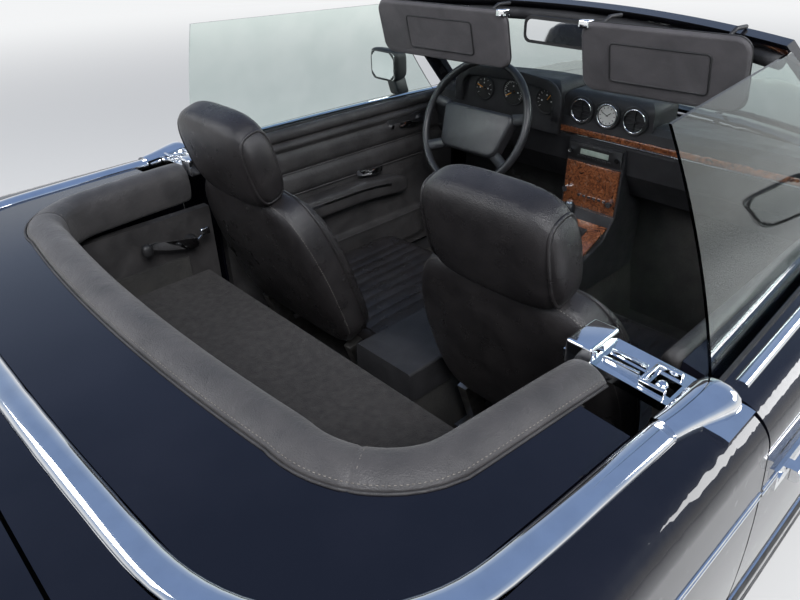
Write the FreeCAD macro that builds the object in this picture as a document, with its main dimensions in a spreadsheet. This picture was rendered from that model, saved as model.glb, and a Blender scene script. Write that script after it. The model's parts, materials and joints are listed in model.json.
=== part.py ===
# A two-seat convertible car with its soft top stowed under a hinged cover.
# Millimetres. +X is forward, +Y is the driver's left, +Z is up, and the origin
# lies on the ground under the middle of the car.
import FreeCAD, Part
import math
import os
import re
import Sketcher
from types import SimpleNamespace

from FreeCAD import Rotation, Vector

X, Y, Z = Vector(1, 0, 0), Vector(0, 1, 0), Vector(0, 0, 1)

# Driving dimensions: alias, value, what it is.
SIZES = (
    ("body_half", 893, "half the width of the body"),
    ("wheelbase", 2460, "axle to axle"),
    ("front_axle_x", 1350, "front axle ahead of the middle"),
    ("track_front", 1452, "between the middles of the front tyres"),
    ("track_rear", 1440, "between the middles of the rear tyres"),
    ("tyre_radius", 318, "outside of the tyre"),
    ("tyre_width", 205, "across the side walls"),
    ("rim_radius", 178, "bead seat of the rim"),
    ("rim_width", 165, "across the rim"),
    ("rim_slots", 12, "windows round the rim"),
    ("hub_pitch", 56, "wheel bolts' circle radius"),
    ("disc_radius", 128, "brake disc"),
    ("stub_radius", 20, "stub axle"),
    ("fit", 0.3, "running clearance"),
    ("belt_height", 888, "shoulder line at the doors"),
    ("crown_rise", 38, "crown of the deck over the shoulder line"),
    ("wall", 20, "thickness of the body panels"),
    ("seam", 5, "shut line between panels"),
    ("nose_reach", 2150, "front of the body panels"),
    ("front_standoff", 45, "front bumper ahead of the body"),
    ("rear_standoff", 35, "rear bumper behind the body"),
    ("tail_reach", 2160, "rear of the body panels, behind the middle"),
    ("nose_sweep", 4500, "plan radius of nose and tail"),
    ("door_front_x", 642, "front shut line of the doors"),
    ("door_rear_x", -464, "rear shut line of the doors"),
    ("door_inner", 722, "inner face of the door shell"),
    ("trim_inner", 694, "inner face of the door trim"),
    ("armrest_depth", 62, "armrest on the door trim"),
    ("pocket_depth", 30, "map pocket under it"),
    ("sill_top", 300, "top of the sills"),
    ("sill_bottom", 195, "underside of the sills"),
    ("arch_radius", 348, "wheel arch opening"),
    ("lip_width", 14, "raised lip round the arches"),
    ("lip_rise", 6, "how far lips and lock plates stand proud"),
    ("hood_half_rear", 690, "half width of the hood at its rear corners"),
    ("hood_half_front", 575, "half width of the hood at its front edge"),
    ("hood_rear_x", 690, "rear corners of the hood"),
    ("hood_setback", 38, "front edge of the hood behind the nose"),
    ("hood_lip", 728, "lower edge of the hood's front lip"),
    ("hood_bow", 210, "how far the middle of the rear edge lies ahead"),
    ("grille_half", 500, "half width of the grille"),
    ("grille_bottom", 572, "bottom of the grille"),
    ("grille_top", 715, "top of the grille"),
    ("grille_bar_count", 3, "horizontal bars"),
    ("lamp_inner", 520, "inner edge of the headlamps"),
    ("lamp_length", 175, "how far the headlamps wrap round the side"),
    ("tail_lamp_inner", 500, "inner edge of the tail lamps"),
    ("tail_lamp_length", 235, "how far the tail lamps wrap round the side"),
    ("tail_depth", 145, "tail panel and lamps, ahead of the rear face"),
    ("tail_lamp_bottom", 560, "bottom of the tail lamps"),
    ("tail_lamp_top", 715, "top of the tail lamps"),
    ("tail_lamp_ribs", 5, "ribs across the tail lamps"),
    ("groove", 6, "grooves between those ribs, wide and deep"),
    ("bumper_bottom", 430, "underside of the bumpers"),
    ("bumper_height", 118, "height of the bumpers"),
    ("bumper_depth", 42, "thickness of the bumper bars"),
    ("apron_split", 425, "top of the apron under the front bumper"),
    ("cover_rear_x", -1232, "rear edge of the chrome rail on the deck"),
    ("cover_half_front", 806, "half width of the rail at the doors"),
    ("cover_half_rear", 781, "half width of the rail where it starts to turn"),
    ("rail_width", 29, "width of the chrome rail"),
    ("gutter", 16, "gap between rail and cover"),
    ("pad_width", 78, "width of the upholstered roll"),
    ("roll_inner_x", -930, "inside edge of the roll, behind the seats"),
    ("roll_corner_x", -838, "where the roll starts to turn"),
    ("roll_half", 572, "half width inside the roll"),
    ("pad_height", 20, "roll above the deck"),
    ("pad_drop", 90, "underside of the roll below the shoulder line"),
    ("plate_front_x", -470, "front edge of the lock plates"),
    ("plate_length", 86, "length of the lock plates"),
    ("trunk_front_x", -1292, "front edge of the trunk lid"),
    ("trunk_half", 640, "half width of the trunk lid"),
    ("plate_pitch", 300, "between the number plate's screws"),
    ("plate_hole", 3.2, "radius of the screw holes"),
    ("recess_half", 270, "half width of the number plate's recess"),
    ("plate_height", 639, "height of the screw holes"),
    ("trunk_lip", 722, "lower edge of the trunk lid"),
    ("glass_base_x", 800, "foot of the windscreen in the middle"),
    ("glass_base_end_x", 600, "foot of the windscreen at its ends"),
    ("glass_base_half", 708, "half width of the windscreen at its foot"),
    ("door_glass_rear_y", 780, "door glass at the belt, rear end"),
    ("door_glass_front_y", 742, "door glass at the belt, front end"),
    ("glass_slot", 17, "width of the slot for the door glass"),
    ("handle_height", 742, "underside of the outside door handles"),
    ("handle_length", 190, "outside door handles"),
    ("header_x", 290, "windscreen header in the middle"),
    ("header_end_x", 190, "windscreen header at its ends"),
    ("header_half", 560, "half width of the header"),
    ("header_height", 1262, "header in the middle"),
    ("header_end_height", 1240, "header at its ends"),
    ("screen_depth", 34, "depth of the windscreen frame"),
    ("glass_thickness", 5, "window glass"),
    ("side_glass_top", 1252, "top edge of the door glass"),
    ("floor_height", 232, "top of the cabin floor"),
    ("floor_wall", 12, "thickness of floor and bulkheads"),
    ("firewall_x", 672, "front bulkhead"),
    ("firewall_half", 684, "half width of the front bulkhead"),
    ("heelboard_x", -600, "step behind the seats"),
    ("shelf_height", 612, "top of the luggage shelf"),
    ("tunnel_half", 105, "inside half width of the transmission tunnel"),
    ("tunnel_height", 430, "top of the transmission tunnel"),
    ("bay_half", 452, "inside half width of the engine bay"),
    ("trunk_floor", 380, "floor of the trunk"),
    ("wheelhouse_half", 590, "half width between the rear wheel housings"),
    ("seat_y", 370, "middle of each seat from the centre line"),
    ("seat_width", 500, "width of the seats"),
    ("cushion_front_x", 195, "front edge of the driver's cushion"),
    ("cushion_length", 500, "length of the cushions"),
    ("cushion_top", 470, "top of the cushions"),
    ("cushion_height", 135, "thickness of the cushions"),
    ("back_thickness", 115, "thickness of the seat backs"),
    ("back_length", 470, "length of the seat backs"),
    ("back_top_width", 390, "width of the seat backs at the top"),
    ("back_lean", 19, "seat back angle behind vertical, degrees"),
    ("headrest_height", 200, "height of the headrests"),
    ("headrest_width", 330, "width of the headrests"),
    ("passenger_shift", 90, "passenger seat ahead of the driver's"),
    ("binnacle_top", 1020, "top of the hood over the gauges"),
    ("console_half", 100, "half width of the console"),
    ("console_round", 8, "rounding of the console's edges"),
    ("wheel_hub_x", 328, "steering wheel centre"),
    ("wheel_hub_y", 360, "steering wheel centre"),
    ("wheel_hub_z", 884, "steering wheel centre"),
    ("wheel_ring_radius", 200, "steering wheel rim, to the middle of its section"),
    ("wheel_ring_section", 13, "radius of the rim's section"),
    ("column_tilt", 25, "steering column above horizontal, degrees"),
    ("steer_pin_y", 666, "steering axis from the centre line"),
    ("pin_radius", 12, "steering pins"),
    ("lower_arm_z", 205, "lower wishbone"),
    ("upper_arm_z", 436, "upper wishbone"),
    ("arm_thickness", 22, "thickness of the wishbones"),
    ("engine_length", 620, "engine block"),
    ("engine_width", 560, "engine block"),
    ("engine_height", 480, "engine block"),
    ("engine_rear_x", 800, "rear face of the engine"),
    ("engine_bottom", 240, "sump"),
    ("pipe_radius", 27, "exhaust pipe"),
    ("pipe_y", -250, "exhaust pipe from the centre line"),
    ("pipe_z", 175, "height of the exhaust pipe"),
)

doc = FreeCAD.newDocument("roadster")
sheet = doc.addObject("Spreadsheet::Sheet", "dims")
for row, (alias, value, note) in enumerate(SIZES, start=1):
    sheet.set(f"A{row}", alias)
    sheet.set(f"B{row}", str(value))
    sheet.set(f"C{row}", note)
    sheet.setAlias(f"B{row}", alias)
doc.recompute()
d = SimpleNamespace(**{alias: float(sheet.get(alias)) for alias, _, _ in SIZES})
rear_axle_x = d.front_axle_x - d.wheelbase
hood_front_x = d.nose_reach - d.hood_setback
beyond = d.body_half + 30
floor_line, roof_line = 150, d.belt_height + 220
tall = 1400

pieces = {}


def keep(label, shape):
    """A sub-part whose shape is made here with Part's own functions."""
    piece = doc.addObject("Part::Feature", label)
    piece.Label = label
    piece.Shape = shape
    piece.Placement = FreeCAD.Placement()
    pieces[label] = piece
    return piece


def node(label, made):
    """A sub-part that is a document object of its own, bound to the sheet."""
    made.Label = label
    pieces[label] = made
    return made


def cells(formula):
    """A formula over the sheet's names, such as "rim_radius + 12"."""
    return re.sub(r"[a-z]\w+", lambda word: "dims." + word.group(), str(formula))


def bound(kind, name, at=(0, 0, 0), turn=Rotation(), **formulas):
    """A document object whose sizes and place follow the sheet."""
    made = doc.addObject(kind, name)
    made.Placement = FreeCAD.Placement(Vector(0, 0, 0), turn)
    for path, formula in formulas.items():
        made.setExpression(path, cells(formula))
    for axis, formula in zip("xyz", at):
        made.setExpression(f"Placement.Base.{axis}", cells(formula))
    return made


def block(name, x0, x1, y0, y1, z0, z1):
    """A bound box between six planes, each a formula."""
    return bound("Part::Box", name, (x0, y0, z0), Length=f"({x1}) - ({x0})", Width=f"({y1}) - ({y0})",
                 Height=f"({z1}) - ({z0})")


def fused(name, *parts):
    made = doc.addObject("Part::MultiFuse", name)
    made.Shapes = list(parts)
    made.Refine = True
    return made


def less(name, base, tool):
    made = doc.addObject("Part::Cut", name)
    made.Base, made.Tool = base, tool
    return made


def other_side(half):
    """The same piece on the other side of the car."""
    made = doc.addObject("Part::Mirroring", f"{half.Name}_mirrored")
    made.Source = half
    made.Normal = Y
    return made


def group(name, *parts):
    made = doc.addObject("Part::Compound", name)
    made.Links = list(parts)
    return made


def outline(body, plane, corners, ahead=0):
    """A closed sketch on one of a body's own planes; each corner is a pair of formulas."""
    sketch = body.newObject("Sketcher::SketchObject", f"{body.Name}_outline")
    sketch.AttachmentSupport = (next(f for f in body.Origin.OriginFeatures if f.Role == plane), "")
    sketch.MapMode = "FlatFace"
    sketch.setExpression("AttachmentOffset.Base.z", cells(ahead))
    count = len(corners)
    rough = [Vector(10 * i, i * i + 1, 0) for i in range(count)]
    sketch.addGeometry([Part.LineSegment(rough[i], rough[(i + 1) % count]) for i in range(count)])
    for i, (across, up) in enumerate(corners):
        sketch.addConstraint(Sketcher.Constraint("Coincident", i, 2, (i + 1) % count, 1))
        for kind, formula in (("DistanceX", across), ("DistanceY", up)):
            index = sketch.addConstraint(Sketcher.Constraint(kind, i, 1, 10.0 + i))
            sketch.setExpression(f"Constraints[{index}]", cells(formula))
    return sketch


def feature(body, kind, sketch, length=None, midplane=False):
    """A pad or pocket of a sketch; a pocket with no length goes right through."""
    made = body.newObject(f"PartDesign::{kind}", f"{body.Name}_{kind.lower()}")
    made.Profile = sketch
    made.Midplane = midplane
    if length is None:
        made.Type = "ThroughAll"
    else:
        made.setExpression("Length", cells(length))
    return made


def revolved(name, corners):
    """A ring or wheel whose section (across, radius) turns about the wheel's axis."""
    body = doc.addObject("PartDesign::Body", name)
    sketch = outline(body, "YZ_Plane", corners)
    ring = body.newObject("PartDesign::Revolution", f"{name}_ring")
    ring.Profile = sketch
    ring.ReferenceAxis = (sketch, ["H_Axis"])
    ring.Angle = 360
    return body


def rounded(body, radius, wanted):
    """Fillet those edges of the body's last feature that `wanted` picks."""
    doc.recompute()
    base = body.Tip
    made = body.newObject("PartDesign::Fillet", f"{body.Name}_fillet")
    made.Base = (base, [f"Edge{i}" for i, e in enumerate(base.Shape.Edges, start=1) if wanted(e)])
    made.setExpression("Radius", cells(radius))
    return made


def box(x0, x1, y0, y1, z0, z1):
    return Part.makeBox(x1 - x0, y1 - y0, z1 - z0, Vector(x0, y0, z0))


def cylinder(radius, start, end):
    run = end - start
    return Part.makeCylinder(radius, run.Length, start, run)


def prism(points, direction):
    """Extrude a flat outline given as a closed list of corners."""
    return Part.Face(Part.makePolygon(list(points) + [points[0]])).extrude(direction)


def plan(points, low=floor_line, high=roof_line):
    """Extrude an outline seen from above between two heights."""
    return prism([Vector(x, y, low) for x, y in points], Z * (high - low))


def mirrored(shape):
    """The same shape on the other side of the car."""
    return shape.mirror(Vector(0, 0, 0), Y)


def both_sides(shape):
    return Part.makeCompound([shape, mirrored(shape)])


def joined(first, *others):
    return first.fuse(list(others)).removeSplitter()


# The outer form of the body. Each section stands at anchor + offset, is narrower than
# body_half by `narrow`, and has its shoulder and crown lower than at the doors by `drop`
# and `flat`; `under` is the height of its underside.
STATIONS = (
    # anchor, offset, narrow, drop, flat, under
    (d.nose_reach, 20, 98, 176, 28, 230),
    (d.nose_reach, -250, 31, 92, 22, 215),
    (d.front_axle_x, 0, 5, 46, 4, 200),
    (d.door_front_x, 0, 0, 8, 0, 190),
    (d.door_rear_x, 0, 0, 0, 0, 190),
    (rear_axle_x, 0, 5, 6, 10, 200),
    (-d.tail_reach, 360, 25, 46, 10, 215),
    (-d.tail_reach, -20, 81, 116, 16, 240),
)


def body_section(x, half, shoulder, crown, under):
    """One closed section: flat underside, tucked sill, side, shoulder and crowned top."""
    side = [
        (half - 92, under), (half - 30, under + 70), (half - 8, under + 180),
        (half, (under + shoulder) / 2 + 80), (half - 16, shoulder - 56),
        (half - 32, shoulder - 17), (half - 72, shoulder),
    ]
    left = [Vector(x, y, z) for y, z in side]
    right = [Vector(x, -y, z) for y, z in side]
    top = Vector(x, 0, crown)
    arcs = [(left[0], left[1], left[2]), (left[2], left[3], left[4]),
            (left[4], left[5], left[6]), (left[6], top, right[6]),
            (right[6], right[5], right[4]), (right[4], right[3], right[2]),
            (right[2], right[1], right[0])]
    edges = [Part.makeLine(right[0], left[0])] + [Part.Arc(*arc).toShape() for arc in arcs]
    return Part.Wire(edges)


def body_form(inset, below=0):
    """The body's outer form, or the hollow inside it, trimmed to its bowed nose and tail."""
    sections = []
    for anchor, offset, narrow, drop, flat, under in STATIONS:
        shoulder = d.belt_height - drop - inset
        crown = shoulder + d.crown_rise - flat
        sections.append(body_section(anchor + offset, d.body_half - narrow - inset, shoulder,
                                     crown, under + inset - below))
    form = Part.makeLoft(sections, True, False)
    for reach, sense in ((d.nose_reach, 1), (d.tail_reach, -1)):
        centre = sense * (reach - d.nose_sweep)
        form = form.common(Part.makeCylinder(d.nose_sweep - inset, tall, Vector(centre, 0, 0)))
    return form


outer = body_form(0)
hollow = body_form(d.wall, 120)
shell = outer.cut(hollow)
proud_shell = body_form(-d.lip_rise).cut(hollow)


def wheel_arches(axle_x, radius, inner):
    reach = d.body_half + 60
    return [cylinder(radius, Vector(axle_x, s * inner, d.tyre_radius),
                     Vector(axle_x, s * reach, d.tyre_radius)) for s in (1, -1)]


def hood_half(x, margin=0):
    slope = (d.hood_half_rear - d.hood_half_front) / (hood_front_x - d.hood_rear_x)
    return d.hood_half_rear - slope * (x - d.hood_rear_x) + margin


def bow(end_x, half, rise, margin=0):
    """A vertical cylinder whose front passes end_x at `half` and end_x + rise in the middle."""
    radius = (half ** 2 + rise ** 2) / (2 * rise)
    return Part.makeCylinder(radius + margin, tall, Vector(end_x + rise - radius, 0, 0))


def hood_plan(margin):
    front = hood_front_x + margin
    rear = d.hood_rear_x - 60
    outline = plan([(rear, -hood_half(rear, margin)), (front, -hood_half(front, margin)),
                    (front, hood_half(front, margin)), (rear, hood_half(rear, margin))], d.hood_lip - margin)
    return outline.cut(bow(d.hood_rear_x, d.hood_half_rear, d.hood_bow, -margin))


def deck_outline(offset):
    """The U of the deck opening, grown or shrunk by offset, as a flat face."""
    front = d.door_rear_x + 60
    turn_x, corner = d.cover_rear_x + 290, Vector(d.cover_rear_x + 92, 672, 0)
    start = Vector(front, d.cover_half_front, 0)
    turn = Vector(turn_x, d.cover_half_rear, 0)
    rear_turn = Vector(d.cover_rear_x + 18, 500, 0)
    flip = Vector(1, -1, 1)

    def other(v):
        return Vector(v.x * flip.x, v.y * flip.y, v.z)
    middle = Vector(d.cover_rear_x, 0, 0)
    edges = [Part.makeLine(start, turn), Part.Arc(turn, corner, rear_turn).toShape(),
             Part.Arc(rear_turn, middle, other(rear_turn)).toShape(),
             Part.Arc(other(rear_turn), other(corner), other(turn)).toShape(),
             Part.makeLine(other(turn), other(start)), Part.makeLine(other(start), start)]
    wire = Part.Wire(edges)
    if offset:
        wire = wire.makeOffset2D(offset, 2)
    return Part.Face(wire)


def deck_prism(offset, low=600, high=roof_line):
    face = deck_outline(offset)
    face.translate(Z * low)
    return face.extrude(Z * (high - low))


def trunk_plan(margin):
    outline = box(-d.tail_reach - 60, d.trunk_front_x + margin, -d.trunk_half - margin,
                  d.trunk_half + margin, d.trunk_lip - margin, roof_line)
    rounded_edges = [e for e in outline.Edges
                     if abs(e.tangentAt(0).z) > 0.9 and e.BoundBox.XMin > d.trunk_front_x - 200]
    return outline.makeFillet(60 + margin, rounded_edges)


def lamp_box(margin):
    return box(d.nose_reach - d.lamp_length - margin, d.nose_reach + 60, d.lamp_inner - margin,
               d.body_half + 20, d.grille_bottom - 8 - margin, d.grille_top + 6 + margin)


def tail_lamp_box(margin):
    return box(-d.tail_reach - 60, -d.tail_reach + d.tail_lamp_length + margin,
               d.tail_lamp_inner - margin, d.body_half + 20, d.tail_lamp_bottom - margin,
               d.tail_lamp_top + margin)


front_arches = wheel_arches(d.front_axle_x, d.arch_radius, 560)
rear_arches = wheel_arches(rear_axle_x, d.arch_radius, 560)


def arch_lips(axle_x, arches):
    """The raised edge round a pair of wheel arches, still to be trimmed to its panel."""
    wider = wheel_arches(axle_x, d.arch_radius + d.lip_width, 700)
    rings = [ring.cut(arch) for ring, arch in zip(wider, arches)]
    return proud_shell.common(Part.makeCompound(rings))


def front_end():
    """Fenders, hood, cowl and the panel round the grille, all cut from one shell."""
    ahead_of_doors = box(d.door_front_x - 120, d.nose_reach + 60, -beyond, beyond, floor_line, roof_line)
    shell_front = shell.common(ahead_of_doors)
    lamps = [lamp_box(d.fit), mirrored(lamp_box(d.fit))]
    grille_hole = box(d.nose_reach - 120, d.nose_reach + 60, -d.grille_half - d.fit,
                      d.grille_half + d.fit, d.grille_bottom - d.fit, d.grille_top + d.fit)
    arch_front = d.front_axle_x + d.arch_radius
    apron_zone = joined(box(arch_front - 8, d.nose_reach + 60, -beyond, beyond, 195, d.apron_split),
                        box(d.nose_reach - 110, d.nose_reach + 60, -d.lamp_inner + d.fit,
                            d.lamp_inner - d.fit, d.apron_split - 1, 800))
    apron_gap = joined(box(arch_front - 9, d.nose_reach + 70, -beyond, beyond, 150, d.apron_split + d.fit),
                       box(d.nose_reach - 110 - d.fit, d.nose_reach + 70, -d.lamp_inner,
                           d.lamp_inner, d.apron_split, 800))
    hood_gap = hood_plan(d.seam)
    apron = shell_front.common(apron_zone).cut([grille_hole, hood_gap] + lamps + front_arches)
    keep("front_apron", apron)

    x0 = d.door_front_x + d.seam
    x1 = d.nose_reach + 60
    fender_zone = plan([(x0, hood_half(x0, d.seam)), (x1, hood_half(x1, d.seam)), (x1, beyond), (x0, beyond)],
                       d.sill_top + d.seam)
    fender = shell_front.common(fender_zone).cut([apron_gap, hood_gap] + lamps + front_arches)
    lip = arch_lips(d.front_axle_x, front_arches).common(fender_zone).cut(apron_gap)
    keep("front_fenders", both_sides(joined(fender, lip)))

    hood = shell_front.common(hood_plan(0))
    keep("hood", hood)

    cowl_zone = plan([(520, -d.door_inner + d.seam), (d.door_front_x + 2, -d.door_inner + d.seam),
                      (d.door_front_x + 2, -hood_half(d.door_front_x)),
                      (960, -hood_half(960)), (960, hood_half(960)),
                      (d.door_front_x + 2, hood_half(d.door_front_x)),
                      (d.door_front_x + 2, d.door_inner - d.seam), (520, d.door_inner - d.seam)], 600)
    behind_hood = bow(d.hood_rear_x, d.hood_half_rear, d.hood_bow, -d.seam - 1)
    landing = bow(d.glass_base_end_x, d.glass_base_half, d.glass_base_x - d.glass_base_end_x, -48)
    cowl = shell_front.common(cowl_zone).common(behind_hood).cut(landing)
    keep("cowl", cowl)


def rear_end():
    """Rear quarters with the deck strip, tail panel, trunk lid and the cover over the top."""
    behind_doors = box(-d.tail_reach - 60, d.door_rear_x, -beyond, beyond, floor_line, roof_line)
    shell_rear = shell.common(behind_doors)
    lamps = [tail_lamp_box(d.fit), mirrored(tail_lamp_box(d.fit))]
    front = d.door_rear_x - d.seam
    body_zone = box(-d.tail_reach - 60, front, -beyond, beyond, d.sill_top + d.seam, roof_line)
    tail_zone = box(-d.tail_reach - 60, -d.tail_reach + 70, -d.tail_lamp_inner + d.fit,
                    d.tail_lamp_inner - d.fit, d.sill_top + d.seam, 780)
    tail_gap = box(-d.tail_reach - 60, -d.tail_reach + 70 + d.fit, -d.tail_lamp_inner,
                   d.tail_lamp_inner, 200, 800)
    trunk_gap = trunk_plan(d.seam)
    quarters = shell_rear.common(body_zone).cut([deck_prism(0), trunk_gap, tail_gap] + lamps + rear_arches)
    keep("rear_quarters", joined(quarters, arch_lips(rear_axle_x, rear_arches).common(body_zone)))
    plate_recess = box(-d.tail_reach - 60, -d.tail_reach + 8, -d.recess_half, d.recess_half,
                       d.tail_lamp_bottom + 10, d.trunk_lip - 14)
    tail = shell_rear.common(tail_zone).cut([trunk_gap, plate_recess])
    screws = [cylinder(d.plate_hole, Vector(-d.tail_reach - 9, s * d.plate_pitch / 2, d.plate_height),
                       Vector(-d.tail_reach + 60, s * d.plate_pitch / 2, d.plate_height)) for s in (1, -1)]
    stops = [box(-d.tail_reach + 18, -d.tail_reach + 28, y - 18, y + 18, d.trunk_lip - d.seam - 6,
                 d.trunk_lip - d.fit) for y in (-330, 330)]
    keep("rear_panel", joined(tail.cut(screws), *stops))
    keep("trunk_lid", shell_rear.common(trunk_plan(0)))

    lid_offset = -d.rail_width - d.gutter
    pad_inner = pad_mouth(0)
    under_deck, over_deck = 600, 1100
    ahead_of_lid = box(d.door_rear_x - 176, d.door_rear_x + 64, -beyond, beyond, under_deck, over_deck)
    lid = shell_rear.common(deck_prism(lid_offset)).cut([pad_mouth(d.pad_width + d.fit), ahead_of_lid])
    keep("cover_lid", lid)
    roll_zone = pad_mouth(d.pad_width).cut(pad_inner)
    behind_plates = d.plate_front_x - d.plate_length - d.seam
    roll_block = box(-1100, behind_plates, -700, 700, d.belt_height - d.pad_drop, roof_line)
    high = body_form(-d.pad_height).common(roll_block)
    keep("cover_pad", high.common(roll_zone))

    rail = shell_rear.common(deck_prism(0)).cut(deck_prism(-d.rail_width))
    behind_plates = box(-d.tail_reach, d.plate_front_x - d.plate_length, -beyond, beyond, under_deck, over_deck)
    keep("deck_rail", rail.common(behind_plates))


def pad_mouth(grow):
    """The opening that the upholstered roll frames, seen from above, grown by `grow`."""
    front, half = d.door_rear_x - 60, d.roll_half
    corner, rear = d.roll_corner_x, d.roll_inner_x
    door_end, turn = Vector(front, half + 26, 0), Vector(corner, half, 0)
    bend, straight = Vector(rear + 30, half - 42, 0), Vector(rear, half - 140, 0)
    middle = Vector(rear - 26, 0, 0)
    door_end_2, turn_2, bend_2, straight_2 = [Vector(v.x, -v.y, 0) for v in (door_end, turn, bend, straight)]
    wire = Part.Wire([
        Part.makeLine(door_end, turn), Part.Arc(turn, bend, straight).toShape(),
        Part.Arc(straight, middle, straight_2).toShape(), Part.Arc(straight_2, bend_2, turn_2).toShape(),
        Part.makeLine(turn_2, door_end_2), Part.makeLine(door_end_2, door_end)])
    if grow:
        wire = wire.makeOffset2D(grow, 2)
    face = Part.Face(wire)
    face.translate(Z * 600)
    return face.extrude(Z * 500)



def door_handle():
    """The outside pull with its two posts, the lock button and the plate behind them."""
    x0, x1 = d.door_rear_x + 70, d.door_rear_x + 70 + d.handle_length
    z = d.handle_height
    skin, inside = d.body_half, d.body_half - 40
    grip = box(x0, x1, skin + 4, skin + 22, z, z + 22)
    long_edges = [e for e in grip.Edges if abs(e.tangentAt(0).x) > 0.9 and e.BoundBox.YMin > skin + 10]
    grip = grip.makeFillet(8, long_edges)
    posts = [box(x, x + 24, inside, skin + 16, z + 1, z + 21) for x in (x0, x1 - 24)]
    lock = cylinder(9, Vector(x0 - 16, inside, z + 11), Vector(x0 - 16, skin + 1, z + 11))
    backing = box(x0 - 30, x1 + 6, inside, beyond, z - 8, z + 30).common(proud_shell)
    return joined(grip, backing, lock, *posts).cut(outer)


def doors():
    """Each door is one thick shell, with a trim card, a glass and a mirror."""
    rear_inner_x = d.door_rear_x + 26
    outline = plan([(d.door_rear_x, beyond), (d.door_front_x, beyond), (d.door_front_x, d.door_inner),
                    (rear_inner_x, d.door_inner), (d.door_rear_x, d.body_half - 20)], d.sill_top + d.seam)
    rear_glass = Vector(d.door_rear_x + 16, d.door_glass_rear_y, d.belt_height - 40)
    front_glass = Vector(d.glass_base_end_x - 24, d.door_glass_front_y, d.belt_height - 40)
    slot_half = d.glass_slot / 2
    across = Vector(0, slot_half, 0)
    lean = Vector(0, -0.22, 1)
    slot = prism([rear_glass - across, front_glass - across, front_glass + across, rear_glass + across],
                 lean * 100)
    door = outer.common(outline).cut(slot)
    keep("door_left", door)
    keep("door_right", mirrored(door))
    handle = door_handle()
    keep("door_left_handle", handle)
    keep("door_right_handle", mirrored(handle))

    low_rear = rear_glass + Vector(1, 0, d.fit)
    low_front = front_glass + Vector(-1, 0, d.fit)
    top_rear = Vector(d.door_rear_x + 6, 640, d.side_glass_top)
    top_front = Vector(d.header_end_x - 28, d.header_half + 12, d.side_glass_top - 8)
    half_glass = Vector(0, d.glass_thickness / 2, 0)
    sections = []
    for share, bulge in ((0, 0), (0.5, 16), (1, 0)):
        rear = low_rear + (top_rear - low_rear) * share + Vector(0, bulge, 0)
        front = low_front + (top_front - low_front) * share + Vector(0, bulge, 0)
        sections.append(Part.makePolygon([rear - half_glass, front - half_glass, front + half_glass,
                                          rear + half_glass, rear - half_glass]))
    glass = Part.makeLoft(sections, True, False)
    keep("door_left_glass", glass)
    keep("door_right_glass", mirrored(glass))

    inner, card = d.door_inner - d.fit, d.trim_inner
    back, ahead = rear_inner_x + 6, d.door_front_x - 82
    profile = [(back, 330), (ahead, 330), (ahead + 28, 420), (ahead + 36, 800), (ahead + 30, 868),
               (back - 2, 872)]
    card_shape = prism([Vector(x, inner, z) for x, z in profile], Y * (card - inner))
    arm_side = ((-300, 520), (330, 560), (350, 600), (300, 640), (-290, 622))
    rest = prism([Vector(x, card, z) for x, z in arm_side], Y * -d.armrest_depth)
    pocket_side = ((-260, 345), (420, 345), (400, 480), (-240, 480))
    pocket = prism([Vector(x, card, z) for x, z in pocket_side], Y * -d.pocket_depth)
    trim = joined(card_shape, rest, pocket)
    keep("door_left_trim", trim)
    keep("door_right_trim", mirrored(trim))

    foot = box(420, 470, 790, 835, d.belt_height - 2, d.belt_height + 60)
    foot = foot.cut(outer)
    housing = box(395, 462, 795, 945, 925, 1045)
    housing = housing.makeFillet(24, [e for e in housing.Edges if abs(e.tangentAt(0).x) > 0.9])
    dish = box(390, 399, 802, 938, 932, 1038)
    mirror = joined(housing.cut(dish), foot)
    keep("door_left_mirror", mirror)
    keep("door_right_mirror", mirrored(mirror))


def screen_solid(low, high, behind, before, grow):
    """Windscreen-shaped slab: `low` and `high` move its edges along the glass."""
    rise_end = Vector(d.header_end_x - d.glass_base_end_x, d.header_half - d.glass_base_half,
                      d.header_end_height - (d.belt_height + 6))
    rise_mid = Vector(d.header_x - d.glass_base_x, 0, d.header_height - (d.belt_height + 36))
    sections = []
    for slide_by in (-low, high):
        wires = []
        if slide_by == high:
            base_e = Vector(d.header_end_x, d.header_half, d.header_end_height)
            base_m = Vector(d.header_x, 0, d.header_height)
        else:
            base_e = Vector(d.glass_base_end_x, d.glass_base_half, d.belt_height + 6)
            base_m = Vector(d.glass_base_x, 0, d.belt_height + 36)
        e = base_e + rise_end * (slide_by / rise_end.Length)
        m = base_m + rise_mid * (slide_by / rise_mid.Length)
        ahead = Vector(m.x - e.x, 0, m.z - e.z).normalize()
        for s in (-behind, before):
            shift = ahead * s
            wires.append((Vector(e.x, e.y + grow, e.z) + shift, Vector(m.x, 0, m.z) + shift,
                          Vector(e.x, -e.y - grow, e.z) + shift))
        back, front = wires
        sections.append(Part.Wire([Part.Arc(*back).toShape(), Part.makeLine(back[2], front[2]),
                                   Part.Arc(front[2], front[1], front[0]).toShape(),
                                   Part.makeLine(front[0], back[0])]))
    return Part.makeLoft(sections, True, True)


def windscreen():
    half_depth, half_glass = d.screen_depth / 2, d.glass_thickness / 2
    frame = screen_solid(14, 32, half_depth, half_depth, 14)
    light = screen_solid(-18, -30, 3 * half_depth, 3 * half_depth, -24)
    frame = frame.cut(light)
    glass = screen_solid(-4, -12, half_glass, half_glass, -8)
    room = half_glass + d.fit
    frame = frame.cut(screen_solid(-4 + d.fit, -12 + d.fit, room, room, -8 + d.fit))
    frame = frame.cut(shell)
    keep("windscreen_frame", frame)
    keep("windscreen_glass", glass)


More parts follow.
